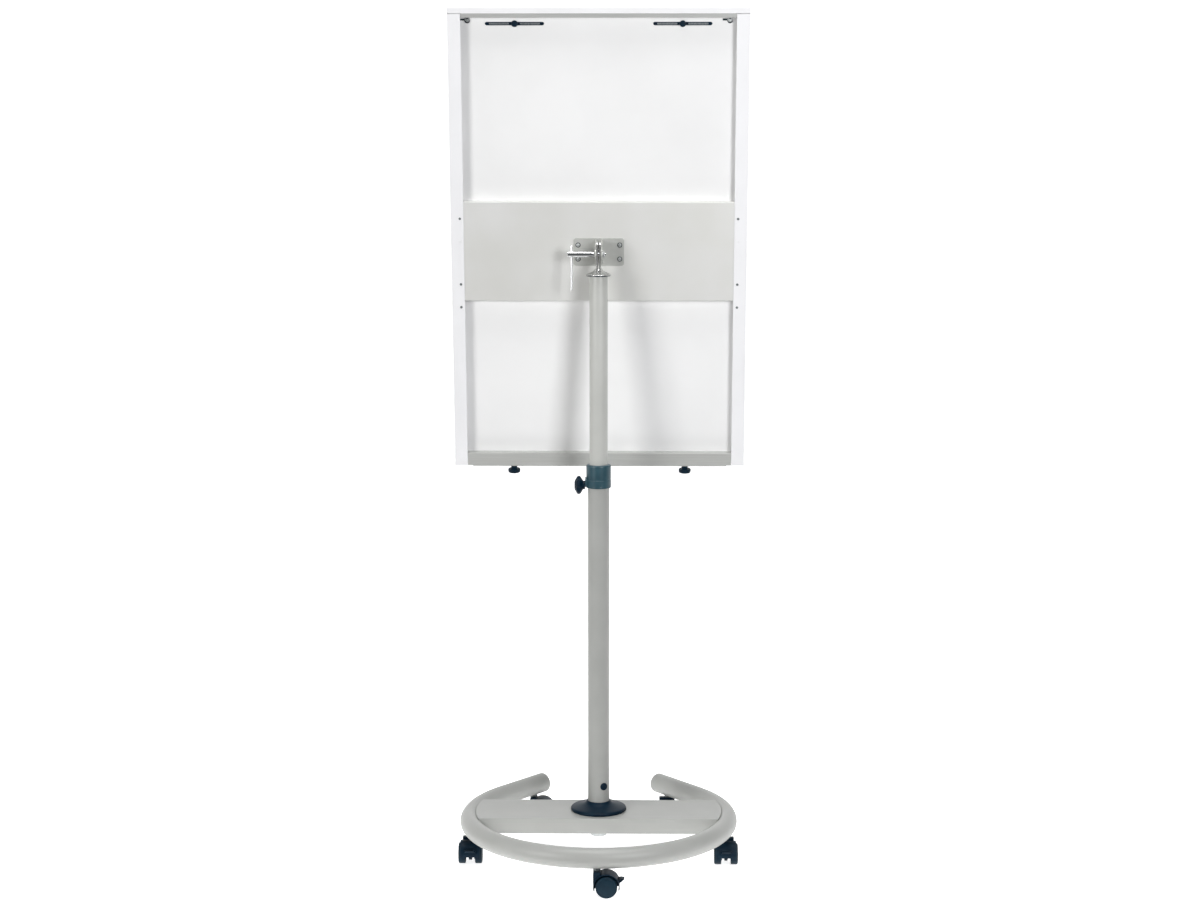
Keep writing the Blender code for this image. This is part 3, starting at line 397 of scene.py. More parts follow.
paper = bpy.data.materials.new("whiteBackgroundPaper")  # matt seamless paper, lit until it is plain white
paper.use_nodes = True
paperShader = paper.node_tree.nodes["Principled BSDF"]
paperPlace = addNode(paper.node_tree, "ShaderNodeTexCoord")
paperFibre = addNode(paper.node_tree, "ShaderNodeTexNoise", {"Scale": 40.0, "Detail": 4.0},
                     {"Vector": paperPlace.outputs["Object"]})
paperTint = addNode(paper.node_tree, "ShaderNodeValToRGB", None, {"Fac": paperFibre.outputs["Fac"]})
paperTint.color_ramp.elements[0].color = fromHex("f2f2f2")
paperTint.color_ramp.elements[1].color = fromHex("f8f8f8")
paperSplit = addNode(paper.node_tree, "ShaderNodeSeparateXYZ", None, {"Vector": paperPlace.outputs["Object"]})
paperEdge = addNode(paper.node_tree, "ShaderNodeMapRange", {"From Min": 0.38, "From Max": 0.50},
                    {"Value": paperSplit.outputs["Y"]})  # the bright sheet ends in front of the object
paperMix = addNode(paper.node_tree, "ShaderNodeMix", {"data_type": "RGBA"},
                   {"Factor": paperEdge.outputs["Result"]})
paper.node_tree.links.new(paperTint.outputs["Color"], paperMix.inputs["A"])
paperMix.inputs["B"].default_value = fromHex("8a8a8a")
paper.node_tree.links.new(paperMix.outputs["Result"], paperShader.inputs["Base Color"])
paperGlow = addNode(paper.node_tree, "ShaderNodeMapRange", {"To Min": 0.80, "To Max": 0.02},
                    {"Value": paperEdge.outputs["Result"]})
paper.node_tree.links.new(paperGlow.outputs["Result"], paperShader.inputs["Emission Strength"])
paperShader.inputs["Emission Color"].default_value = fromHex("ffffff")
paperShader.inputs["Roughness"].default_value = 0.9
backdrop.data.materials.append(paper)
bpy.ops.object.shade_smooth_by_angle(angle=radians(40.0))
print("studio ready")


# base ring and crossbar
ring = {"radius": 0.303, "tube": 0.0235, "height": 0.086, "sweep": 38.6, "arm": 0.150,
        "sides": 48, "steps": 120, "seam": 0.0003, "crown": 0.0042}
sweepBack = radians(ring["sweep"])


def armPoint(side, distance):  # a place along a straight arm of the ring, from its bend
    across = ring["radius"] * cos(sweepBack) - distance * sin(sweepBack)
    forward = -ring["radius"] * sin(sweepBack) - distance * cos(sweepBack)
    return Vector((side * across, forward, ring["height"]))


def makeRing():  # round tube: one arm pulled out, spun round the ring, then the other arm
    rightEnd = armPoint(1.0, ring["arm"])
    inwards = (armPoint(1.0, 0.0) - rightEnd).normalized()
    clearSelection()
    bpy.ops.mesh.primitive_circle_add(vertices=ring["sides"], radius=ring["tube"], fill_type="NGON",
                                      location=rightEnd, rotation=inwards.to_track_quat("Z", "Y").to_euler())
    tube = bpy.context.object
    tube.name = "baseRingTube"
    bpy.ops.object.transform_apply(location=True, rotation=True, scale=True)
    bpy.ops.object.mode_set(mode="EDIT")
    bpy.ops.mesh.select_all(action="SELECT")
    bpy.ops.mesh.extrude_region_move(TRANSFORM_OT_translate={"value": inwards * ring["arm"]})
    bpy.ops.mesh.spin(steps=ring["steps"], angle=pi + 2 * sweepBack, center=(0, 0, ring["height"]),
                      axis=(0, 0, -1))
    outwards = armPoint(-1.0, ring["arm"]) - armPoint(-1.0, 0.0)
    bpy.ops.mesh.extrude_region_move(TRANSFORM_OT_translate={"value": outwards})
    mergeAndFaceOut()
    settle(tube, finish["greyPowderCoat"], "base", ["base_ring"])


def makeRingEnds():  # press-fit end caps with a rounded rim, coated with the tube
    rim = ring["tube"] - 0.0002
    crown = ring["crown"]
    profile = [(0.0, crown), (0.0120, crown), (rim - 0.0060, crown - 0.0001), (rim - 0.0030, crown - 0.0006),
               (rim - 0.0010, crown - 0.0018), (rim, 0.0010), (rim, ring["seam"]), (0.0, ring["seam"])]
    for label, side in rightHand.items():
        cap = turnProfile("ringEndCap_" + label, profile)
        end = armPoint(side, ring["arm"])
        direction = (end - armPoint(side, 0.0)).to_track_quat("Z", "Y").to_matrix().to_4x4()
        settle(cap, finish["greyPowderCoat"], "base", ["ring_end_cap_" + label],
               Matrix.Translation(end) @ direction)


crossbar = {"reach": 0.2895, "sheet": 0.003, "foldRadius": 0.0028, "steps": 256}


def makeCrossbar():  # channel folded from 3 mm sheet, its ends curved to the ring
    low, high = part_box("base_crossbar")
    clearSelection()
    bpy.ops.mesh.primitive_circle_add(vertices=crossbar["steps"], radius=crossbar["reach"], fill_type="NGON",
                                      location=(0, 0, high.z))
    bar = bpy.context.object
    bar.name = "baseCrossbar"
    bpy.ops.object.transform_apply(location=True, rotation=True, scale=True)
    bpy.ops.object.mode_set(mode="EDIT")
    for edge, normal in ((low.y, (0, -1, 0)), (high.y, (0, 1, 0))):
        bpy.ops.mesh.select_all(action="SELECT")
        bpy.ops.mesh.bisect(plane_co=(0, edge, high.z), plane_no=normal, use_fill=False, clear_outer=True)
    bpy.ops.mesh.select_all(action="SELECT")
    bpy.ops.mesh.extrude_region_move(TRANSFORM_OT_translate={"value": (0, 0, low.z - high.z)})
    bpy.ops.mesh.select_all(action="SELECT")
    bpy.ops.mesh.normals_make_consistent(inside=False)
    openUnderside(bar)
    roundEdges(bar, crossbar["foldRadius"], 5, 40.0)
    thicken(bar, crossbar["sheet"])
    settle(bar, finish["greyPowderCoat"], "base", ["base_crossbar"])


makeRing()
makeRingEnds()
makeCrossbar()
print("base ring and crossbar made")


# foot of the mast
foot = {"coverRadius": 0.0650, "hubRadius": 0.0190, "shankRadius": 0.0080}


def makeFoot():  # flared cover over the tube's foot, and the bolt hub under the crossbar
    low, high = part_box("mast_foot_cover")
    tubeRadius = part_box("lower_mast_tube")[1].x + clearance
    wide = foot["coverRadius"]
    cover = turnProfile("footCover", [
        (wide - 0.0012, low.z), (wide, low.z + 0.0012), (wide, low.z + 0.0050),
        (wide - 0.0010, low.z + 0.0068), (wide - 0.0035, low.z + 0.0082), (wide - 0.0120, low.z + 0.0100),
        (0.0430, low.z + 0.0125), (0.0340, low.z + 0.0155), (0.0300, low.z + 0.0188),
        (0.0284, low.z + 0.0222), (0.0276, high.z), (tubeRadius, high.z), (tubeRadius, low.z + 0.0170),
        (0.0300, low.z + 0.0130), (wide - 0.0050, low.z + 0.0055), (wide - 0.0040, low.z),
        (wide - 0.0012, low.z)], 96)
    settle(cover, finish["blackPolyamide"], "base", ["mast_foot_cover"])

    low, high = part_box("mast_foot_bolt")
    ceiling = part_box("base_crossbar")[1].z - crossbar["sheet"] - clearance
    wide = foot["hubRadius"]
    shank = foot["shankRadius"]
    hub = turnProfile("footHub", [
        (0.0, low.z + 0.0012), (shank - 0.0010, low.z + 0.0012), (shank, low.z), (wide - 0.0030, low.z),
        (wide - 0.0007, low.z + 0.0010), (wide, low.z + 0.0032), (wide, ceiling), (shank, ceiling),
        (shank, high.z - 0.0010), (shank - 0.0010, high.z), (0.0, high.z)])
    settle(hub, finish["zincPlate"], "base", ["mast_foot_bolt"])


# mast
mast = {"lowerWall": 0.0020, "upperWall": 0.0015, "edge": 0.0004}


def makeTube(name, node, wall, material, body):  # drawn tube with broken edges
    low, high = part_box(node)
    radius = (high.x - low.x) / 2
    inner = radius - wall
    edge = mast["edge"]
    tube = turnProfile(name, [
        (radius - edge, low.z), (radius, low.z + edge), (radius, high.z - edge), (radius - edge, high.z),
        (inner + edge, high.z), (inner, high.z - edge), (inner, low.z + edge), (inner + edge, low.z),
        (radius - edge, low.z)], 96)
    settle(tube, material, body, [node])


plug = {"radius": 0.0088, "depth": 0.0034, "shank": 0.0056, "socket": 0.0032}


def makeFootPlug():  # round-headed lock screw low on the lower tube, with a hexagon socket
    low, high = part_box("mast_lock_screw")
    middle = (low + high) / 2
    turn = atan2(middle.y, middle.x)
    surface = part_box("lower_mast_tube")[1].x + 0.0001
    wide = plug["radius"]
    depth = plug["depth"]
    shank = plug["shank"]
    screw = turnProfile("footPlug", [
        (0.0, -0.0040), (shank, -0.0040), (shank, -0.0012), (wide, -0.0012), (wide, 0.0012),
        (wide - 0.0006, 0.0022), (wide - 0.0022, depth), (0.0044, depth), (0.0038, depth - 0.0004),
        (0.0, depth - 0.0004)], 48)
    clearSelection()
    bpy.ops.mesh.primitive_cylinder_add(vertices=6, radius=plug["socket"], depth=0.0040,
                                        location=(0, 0, depth))
    cutAway(screw, bpy.context.object)
    roundEdges(screw, 0.0002, 2)
    place = Matrix.Translation((surface * cos(turn), surface * sin(turn), middle.z))
    place = place @ Matrix.Rotation(turn, 4, "Z") @ Matrix.Rotation(radians(90.0), 4, "Y")
    settle(screw, finish["blackPolyamide"], "base", ["mast_lock_screw"], place)


collar = {"radius": 0.0290, "chamfer": 0.0018, "grooveAt": 0.60, "grooveDrop": 0.0140, "bossRadius": 0.0118,
          "bossRoot": 0.0262, "bossFace": 0.0310, "bossHeight": 0.0125}


def makeCollar():  # moulded sleeve with a fine groove and a boss for the knob's screw
    low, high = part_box("clamp_collar")
    wide = collar["radius"]
    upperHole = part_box("upper_mast_tube")[1].x + clearance
    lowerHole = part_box("lower_mast_tube")[1].x + clearance
    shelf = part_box("lower_mast_tube")[1].z + clearance
    groove = low.z + (high.z - low.z) * collar["grooveAt"] - collar["grooveDrop"]
    body = turnProfile("clampCollar", [
        (wide - 0.0020, low.z), (wide - 0.0004, low.z + 0.0006), (wide, low.z + 0.0016),
        (wide, low.z + 0.0040), (wide - 0.0004, low.z + 0.0046), (wide, low.z + 0.0052), (wide, groove),
        (wide - 0.0005, groove + 0.0005), (wide - 0.0006, groove + 0.0012), (wide - 0.0003, groove + 0.0018),
        (wide - 0.0003, high.z - collar["chamfer"] - 0.0020), (wide - 0.0010, high.z - 0.0014),
        (wide - 0.0026, high.z - 0.0002), (wide - 0.0040, high.z), (upperHole, high.z), (upperHole, shelf),
        (lowerHole, shelf), (lowerHole, low.z), (wide - 0.0020, low.z)], 96)
    root = collar["bossRoot"]
    face = collar["bossFace"]
    clearSelection()
    bpy.ops.mesh.primitive_cylinder_add(vertices=48, radius=collar["bossRadius"], depth=face - root,
                                        location=((face + root) / 2, 0, low.z + collar["bossHeight"]),
                                        rotation=(0, radians(90.0), 0))
    weldOn(body, bpy.context.object)
    roundEdges(body, 0.0006, 3, 40.0)
    # the collar's lighter colour is a painted sheen on black polyamide
    settle(body, finish["smoothPolyamideWithPaintedSheen"], "base", ["clamp_collar"])


handKnob = {"radius": 0.0213, "head": 0.0200, "rim": 0.0060, "hub": 0.0098, "screw": 0.0040,
            "lobes": 5, "dipRadius": 0.0090, "dipAt": 0.0268}


def makeHandKnob():  # five-lobed knob, thick in the middle and thin at the rim
    low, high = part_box("clamp_knob")
    wide = handKnob["radius"]
    head = handKnob["head"]
    middle = head / 2
    rim = handKnob["rim"] / 2
    hub = handKnob["hub"]
    screw = handKnob["screw"]
    hubEnd = high.x - collar["bossFace"] - clearance
    knob = turnProfile("clampKnob", [
        (0.0, 0.0006), (0.0060, 0.0004), (0.0085, 0.0), (0.0105, 0.0005),
        (wide - 0.0016, middle - rim - 0.0010), (wide, middle - rim + 0.0006),
        (wide, middle + rim - 0.0006), (wide - 0.0016, middle + rim + 0.0010),
        (hub + 0.0012, head - 0.0004), (hub, head), (hub, hubEnd), (screw, hubEnd),
        (screw, high.x - low.x), (0.0, high.x - low.x)], 80)
    for index in range(handKnob["lobes"]):
        turn = 2 * pi * (index + 0.5) / handKnob["lobes"]
        clearSelection()
        bpy.ops.mesh.primitive_cylinder_add(vertices=48, radius=handKnob["dipRadius"], depth=0.060, location=(
            handKnob["dipAt"] * cos(turn), handKnob["dipAt"] * sin(turn), middle))
        cutAway(knob, bpy.context.object)
    roundEdges(knob, 0.0009, 3, 30.0)
    knobHeight = joints["collar_knob_turn"]["pos_m"][2]
    place = Matrix.Translation((high.x, 0, knobHeight)) @ Matrix.Rotation(radians(-90.0), 4, "Y")
    settle(knob, finish["blackPolyamide"], "clamp_knob", ["clamp_knob"], place)


makeFoot()
makeTube("lowerMastTube", "lower_mast_tube", mast["lowerWall"], finish["greyPowderCoat"], "base")
makeTube("upperMastTube", "upper_mast_tube", mast["upperWall"], finish["mastPowderCoat"], "upper_mast")
makeFootPlug()
makeCollar()
makeHandKnob()
print("mast made")


# tilt clamp on top of the mast
clampTop = {"flange": 0.0285, "tabNear": 0.0013, "tabFar": 0.0048, "tabHalf": 0.0150, "tabRise": 0.0160,
            "eyeRadius": 0.0140, "bore": 0.0043, "plugDepth": 0.0200}


def makeTopCap():  # plug and flange on the tube, a cone above it, two tabs between the bracket's ears
    tube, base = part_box("upper_mast_tube")[1].xz
    base += clearance
    inner = tube - mast["upperWall"] - clearance
    foot = base - clampTop["plugDepth"]
    wide = clampTop["flange"]
    cap = turnProfile("mastTopCap", [
        (0.0, foot), (inner - 0.0010, foot), (inner, foot + 0.0010), (inner, base),
        (wide - 0.0006, base), (wide, base + 0.0006), (wide, base + 0.0016), (wide - 0.0008, base + 0.0024),
        (0.0240, base + 0.0044), (0.0190, base + 0.0062), (0.0140, base + 0.0088), (0.0105, base + 0.0118),
        (0.0082, base + 0.0150), (0.0, base + 0.0150)], 80)
    root = base + 0.0040 - pivot.z
    half = clampTop["tabHalf"]
    eye = arcPoints((0, clampTop["tabRise"]), clampTop["eyeRadius"], 0.0, 180.0, 32)
    thick = clampTop["tabFar"] - clampTop["tabNear"]
    for label, side in rightHand.items():
        outline = [(side * clampTop["tabNear"], y, z) for y, z in [(half, root)] + eye + [(-half, root)]]
        tab = extrudeOutline("capTab_" + label, outline, (side * thick, 0, 0))
        placePiece(tab, Matrix.Translation(pivot))
        weldOn(cap, tab)
    boreAcross(cap, clampTop["bore"], pivot)
    roundEdges(cap, 0.0004, 2, 35.0)
    settle(cap, finish["satinNickel"], "upper_mast", ["mast_top_cap"])
    capShadeRing = turnProfile("mastCapPaintedShadeRing", [  # thin dark ring under the flange, painted shade for the shadow the flange casts on the tube
        (tube + 0.0001, base - 0.0016), (wide - 0.0010, base - 0.0016), (wide - 0.0004, base - 0.0010),
        (wide - 0.0004, base - 0.0001), (tube + 0.0001, base - 0.0001), (tube + 0.0001, base - 0.0016)], 80)
    settle(capShadeRing, finish["blackPolyamide"], "upper_mast")


tiltBolt = {"shankRadius": 0.0040, "sleeveFrom": 0.0091, "sleeveRadius": 0.0068, "taperRadius": 0.0050,
            "taper": 0.0080, "barRadius": 0.0030}
tiltNut = {"radius": 0.0068, "domeRadius": 0.0098, "domeTip": 0.0042, "domeDepth": 0.0056}


def makeTiltBolt():  # bolt with a long sleeve for its head, bored across for the tommy bar
    low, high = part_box("tilt_clamp_bolt")
    shank = tiltBolt["shankRadius"]
    start = tiltBolt["sleeveFrom"]
    wide = tiltBolt["sleeveRadius"]
    bolt = turnProfile("tiltSleeve", [
        (0.0, low.x), (shank - 0.0006, low.x), (shank, low.x + 0.0006), (shank, start),
        (tiltBolt["taperRadius"], start), (wide, start + tiltBolt["taper"]), (wide, high.x - 0.0012),
        (wide - 0.0004, high.x - 0.0005), (wide - 0.0012, high.x), (0.0030, high.x),
        (0.0024, high.x - 0.0006), (0.0, high.x - 0.0006)], 64)
    barLow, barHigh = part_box("tommy_bar")
    barX = (barLow.x + barHigh.x) / 2
    thin = tiltBolt["barRadius"]
    clearSelection()
    bpy.ops.mesh.primitive_cylinder_add(vertices=32, radius=thin + clearance, depth=0.04,
                                        location=(0, 0, barX), rotation=(0, radians(90.0), 0))
    cutAway(bolt, bpy.context.object)
    roundEdges(bolt, 0.0002, 2, 40.0)
    place = Matrix.Translation((0, 0, pivot.z)) @ Matrix.Rotation(radians(90.0), 4, "Y")
    settle(bolt, finish["polishedChrome"], "tilt_bolt", ["tilt_clamp_bolt"], place)

    foot, top = barLow.z, barHigh.z
    bar = turnProfile("tommyBar", [
        (0.0, foot), (thin * 0.60, foot + 0.0001), (thin * 0.86, foot + 0.0007), (thin, foot + 0.0020),
        (thin, top - 0.0020), (thin * 0.86, top - 0.0007), (thin * 0.60, top - 0.0001), (0.0, top)], 48)
    settle(bar, finish["satinChrome"], "tommy_bar", ["tommy_bar"],
           Matrix.Translation((barX, 0, 0)))


def makeTiltNut():  # hexagon nut with its outer corners turned off
    low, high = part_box("tilt_nut")
    depth = tiltNut["domeDepth"]
    clearSelection()
    bpy.ops.mesh.primitive_cylinder_add(vertices=6, radius=tiltNut["radius"], depth=high.x - low.x,
                                        location=((low.x + high.x) / 2, 0, pivot.z),
                                        rotation=(0, radians(90.0), 0))
    nut = bpy.context.object
    nut.name = "tiltNut"
    bpy.ops.object.transform_apply(location=True, rotation=True, scale=True)
    bpy.ops.mesh.primitive_cone_add(vertices=64, radius1=tiltNut["domeRadius"], radius2=tiltNut["domeTip"],
                                    depth=depth, location=(low.x + depth / 2 - clearance, 0, pivot.z),
                                    rotation=(0, radians(-90.0), 0))
    dome = bpy.context.object
    shapeWith(nut, "BOOLEAN", {"operation": "INTERSECT", "solver": "EXACT", "object": dome})
    bpy.data.objects.remove(dome)
    boreAcross(nut, clampTop["bore"], pivot)
    roundEdges(nut, 0.0002, 2, 30.0)
    settle(nut, finish["zincPlate"], "upper_mast", ["tilt_nut"])


bracket = {"width": 0.116, "height": 0.0645, "corner": 0.006, "thick": 0.004, "middle": -0.005,
           "earNear": 0.0051, "earFar": 0.0088}


def makeBracket():  # base plate with round corners and two ears that hold the bolt
    face = localBox("back_plate", boardPlace)[1].y + clearance
    outline = []
    for sideX, sideZ, start in ((1, 1, 0), (-1, 1, 90), (-1, -1, 180), (1, -1, 270)):
        corner = (sideX * (bracket["width"] / 2 - bracket["corner"]),
                  sideZ * (bracket["height"] / 2 - bracket["corner"]) + bracket["middle"])
        outline += arcPoints(corner, bracket["corner"], start, start + 90, 8)
    plate = extrudeOutline("tiltBracket", [(x, face, z) for x, z in outline], (0, bracket["thick"], 0))
    root = face + bracket["thick"] - 0.001
    reach = bracket["height"] / 2 - 0.003
    eye = arcPoints((0, 0), clampTop["eyeRadius"], -60.0, 60.0, 24)
    profile = [(root, bracket["middle"] - reach)] + eye + [(root, bracket["middle"] + reach)]
    thick = bracket["earFar"] - bracket["earNear"]
    for label, side in rightHand.items():
        outline = [(side * bracket["earNear"], y, z) for y, z in profile]
        weldOn(plate, extrudeOutline("bracketEar_" + label, outline, (side * thick, 0, 0)))
    boreAcross(plate, clampTop["bore"])
    roundEdges(plate, 0.0005, 3, 35.0)
    settle(plate, finish["bracketSteel"], "board", ["tilt_bracket"], boardPlace)


def makeScrewHead(name, radius, height, slotWidth):  # pan head with a cross recess, facing +Z
    screw = turnProfile(name, [
        (0.0, -0.0004), (radius, -0.0004), (radius, height * 0.25), (radius * 0.94, height * 0.62),
        (radius * 0.78, height * 0.88), (radius * 0.50, height), (0.0, height)], 40)
    for size in ((radius * 1.15, slotWidth, height * 1.3), (slotWidth, radius * 1.15, height * 1.3)):
        clearSelection()
        bpy.ops.mesh.primitive_cube_add(size=1.0, location=(0, 0, height), scale=size)
        cutAway(screw, bpy.context.object)
    return screw


# heads are given by radius, height and slot width, and the flange screws' heights from the pivot
# the outer and inner radius of the dark ring of painted shade round each bracket screw head are given here
# too
screws = {"pan": (0.0043, 0.0027, 0.0011), "panTurn": 37.0, "shadeRing": 0.0059, "shadeRingHole": 0.0040,
          "flange": (0.0029, 0.0009, 0.0006), "flangeInset": 0.0085, "flangeTurn": 25.0,
          "heights": (0.0717, 0.0181, -0.0825, -0.1369)}
faceOut = Matrix.Rotation(radians(-90.0), 4, "X")  # turns a piece made facing up to face the rear


def makeBracketScrews():  # four pan heads, each on a dark ring of painted shade for the shadow line round the head, each stopped at its own angle
    pattern = makeScrewHead("screwPattern", *screws["pan"])
    wide = screws["shadeRing"]
    hole = screws["shadeRingHole"]
    for number in range(1, 5):
        low, high = localBox("bracket_screw_%d" % number, boardPlace)
        middle = (low + high) / 2
        head = copyPiece(pattern, "bracketScrew_%d" % number)
        turned = Matrix.Rotation(radians(screws["panTurn"] * number + 12.0), 4, "Z")
        spot = Matrix.Translation((middle.x, high.y - 0.0029, middle.z))
        settle(head, finish["zincPlate"], "board", ["bracket_screw_%d" % number],
               boardPlace @ spot @ faceOut @ turned)
        # a dark ring under each head: painted shade standing in for the shadow line round it
        shadeRing = turnProfile("screwShadeRing_%d" % number, [
            (hole, 0.0), (wide - 0.0003, 0.0), (wide, 0.0003), (wide - 0.0001, 0.0007),
            (wide - 0.0007, 0.0010), (hole, 0.0008), (hole, 0.0)], 40)
        settle(shadeRing, finish["darkSteelAndPaintedShade"], "board", (), boardPlace @ spot @ faceOut)
    bpy.data.objects.remove(pattern)


def makeFlangeScrews():  # small screws through the rear flanges, one on each side coated over
    pattern = makeScrewHead("smallScrewPattern", *screws["flange"])
    low, high = localBox("side_channel_right", boardPlace)
    inner = low.x + screws["flangeInset"]
    face = high.y
    for label, side in rightHand.items():
        for number, height in enumerate(screws["heights"]):
            head = copyPiece(pattern, "flangeScrew_%s_%d" % (label, number + 1))
            turned = Matrix.Rotation(radians(screws["flangeTurn"] * number + 40.0), 4, "Z")
            spot = Matrix.Translation((side * inner, face + 0.0002, height))
            painted = number == 1
            # screws not coated over take the dull zinc that is painted darker as painted shade
            settle(head, finish["whitePowderCoat" if painted else "dullAndShadedZinc"], "board",
                   (),
                   boardPlace @ spot @ faceOut @ turned)
    bpy.data.objects.remove(pattern)


makeTopCap()
makeTiltBolt()
makeTiltNut()
makeBracket()
makeBracketScrews()
makeFlangeScrews()
print("tilt clamp made")


# board
board = {"flange": 0.030, "lip": 0.012, "sheet": 0.0015, "fold": 0.0012, "topFold": 0.0016,
         "stripHeight": 0.0096, "stripInset": 0.0022, "stripSheet": 0.0012, "seam": 0.0010,
         "plateFold": 0.0010, "railSheet": 0.0020, "railFold": 0.0007}


def makeSideChannels():  # folded edge profiles with a wide flange at the rear and a lip in front
    low, high = localBox("side_channel_right", boardPlace)
    outer = high.x
    line = [(outer - board["flange"], high.y, low.z), (outer, high.y, low.z), (outer, low.y, low.z),
            (outer - board["lip"], low.y, low.z)]
    tall = high.z - low.z - board["seam"]
    right = foldSheet("sideChannel_right", line, (0, 0, tall), board["sheet"], board["fold"])
    roundEdges(right, 0.0002, 2, 60.0)
    left = mirrorPiece(right, "sideChannel_left")
    for label, channel in (("right", right), ("left", left)):
        settle(channel, finish["whitePowderCoat"], "board", ["side_channel_" + label],
               boardPlace)


def makeTopRail():  # a cap open underneath, and the grey profile that holds the panel's top edge below it
    low, high = localBox("top_rail", boardPlace)
    rail = blockBetween("topRail", low, high)
    openUnderside(rail)
    roundEdges(rail, board["topFold"], 4, 35.0)
    thicken(rail, board["sheet"])
    settle(rail, finish["whitePowderCoat"], "board", ["top_rail"], boardPlace)

    inner = localBox("side_channel_right", boardPlace)[0].x - 0.0004
    top = low.z - 0.0001
    foot = top - board["stripHeight"]
    back = high.y - board["stripInset"]
    front = localBox("writing_panel", boardPlace)[1].y + 0.0002
    line = [(-inner, front, foot), (-inner, back, foot), (-inner, back, top)]
    strip = foldSheet("topInnerProfile", line, (2 * inner, 0, 0), board["stripSheet"], board["plateFold"])
    settle(strip, finish["drawnAluminium"], "board", (), boardPlace)


slots = {"length": 0.134, "width": 0.008, "span": 0.190, "height": 0.5150, "discRadius": 0.0075,
         "railDepth": 0.0005, "stripFrom": 0.012, "stripTo": 0.058, "stripWidth": 0.0044}


def slotOutline(length, width, middle, y):  # round-ended outline in a plane that faces the rear
    radius = width / 2
    reach = length / 2 - radius
    points = arcPoints((middle[0] + reach, middle[1]), radius, -90.0, 90.0, 12)
    points += arcPoints((middle[0] - reach, middle[1]), radius, 90.0, 270.0, 12)
    return [(x, y, z) for x, z in points]


def makePanel():  # enamelled panel with the two slots for the pad hooks
    low, high = localBox("writing_panel", boardPlace)
    panel = blockBetween("writingPanel", low, high)
    for side in rightHand.values():
        middle = (side * slots["span"], slots["height"])
        outline = slotOutline(slots["length"], slots["width"], middle, low.y - 0.005)
        cutAway(panel, extrudeOutline("slotCutter", outline, (0, 0.015, 0)))
    roundEdges(panel, 0.0003, 2, 60.0)
    settle(panel, finish["whiteEnamel"], "board", ["writing_panel"], boardPlace)


def makeSlotRail(label, side):  # dark rail in a slot, with a bright strip on both sides of its middle
    front = localBox("writing_panel", boardPlace)[0].y
    depth = slots["railDepth"]
    length = slots["length"] - 2 * clearance
    width = slots["width"] - 2 * clearance
    middle = (side * slots["span"], slots["height"])
    outline = slotOutline(length, width, middle, front + 0.0004)
    rail = extrudeOutline("slotRail_" + label, outline, (0, depth, 0))
    roundEdges(rail, 0.0002, 2, 60.0)
    settle(rail, finish["blackPolyamide"], "board", (), boardPlace)
    near, far = slots["stripFrom"], slots["stripTo"]
    for end in (1.0, -1.0):
        part = "outer" if end * side > 0 else "inner"
        stripMiddle = (middle[0] + end * (near + far) / 2, middle[1])
        outline = slotOutline(far - near, slots["stripWidth"], stripMiddle, front + 0.0007)
        strip = extrudeOutline("slotStrip_%s_%s" % (label, part), outline, (0, depth, 0))
        settle(strip, finish["dullAndShadedZinc"], "board", (), boardPlace)


def makePadHook(label):  # stepped peg in front of the panel and a dished disc behind it
    faceFront = Matrix.Rotation(radians(90.0), 4, "X")
    front = localBox("writing_panel", boardPlace)[0].y
    wide = slots["discRadius"]
    low, high = localBox("hook_disc_" + label, boardPlace)
    spot = (low + high) / 2
    disc = turnProfile("hookDisc_" + label, [
        (0.0, 0.0), (wide - 0.0004, 0.0), (wide, 0.0004), (wide, 0.0024), (wide - 0.0008, 0.0036),
        (wide - 0.0022, 0.0041), (0.0026, 0.0041), (0.0018, 0.0034), (0.0, 0.0034)], 48)
    settle(disc, finish["blackPolyamide"], "hook_" + label, ["hook_disc_" + label],
           boardPlace @ Matrix.Translation((spot.x, low.y, spot.z)) @ faceOut)
    reach = front - localBox("pad_hook_" + label, boardPlace)[0].y
    hook = turnProfile("padHook_" + label, [
        (0.0, reach), (0.0022, reach), (0.0034, reach - 0.0004), (0.0040, reach - 0.0014),
        (0.0040, 0.0026), (0.0046, 0.0020), (0.0064, 0.0019), (0.0070, 0.0014), (0.0070, 0.0003),
        (0.0034, 0.0003), (0.0034, -0.0002), (0.0, -0.0002)], 40)
    settle(hook, finish["blackPolyamide"], "hook_" + label, ["pad_hook_" + label],
           boardPlace @ Matrix.Translation((spot.x, front, spot.z)) @ faceFront)


def foldTray(name, node, sheet, fold):  # a sheet with a short flange forward at its foot and its top
    low, high = localBox(node, boardPlace)
    line = [(low.x, low.y, low.z), (low.x, high.y, low.z), (low.x, high.y, high.z), (low.x, low.y, high.z)]
    return foldSheet(name, line, (high.x - low.x, 0, 0), sheet, fold)


def makeFoldedPlates():
    plate = foldTray("backPlate", "back_plate", board["sheet"], board["plateFold"])
    roundEdges(plate, 0.0002, 2, 60.0)
    settle(plate, finish["greyCoatedSheet"], "board", ["back_plate"], boardPlace)
    rail = foldTray("bottomRail", "bottom_rail", board["railSheet"], board["railFold"])
    roundEdges(rail, 0.0003, 2, 60.0)
    settle(rail, finish["anodisedAluminium"], "board", ["bottom_rail"], boardPlace)


eyelet = {"span": 0.2965, "height": 0.5222, "major": 0.0050, "minor": 0.0013, "stand": 0.0012, "squash": 0.8,
          "rivet": 0.0034, "armWidth": 0.0042, "armRise": 0.0022, "armReach": 0.0165}


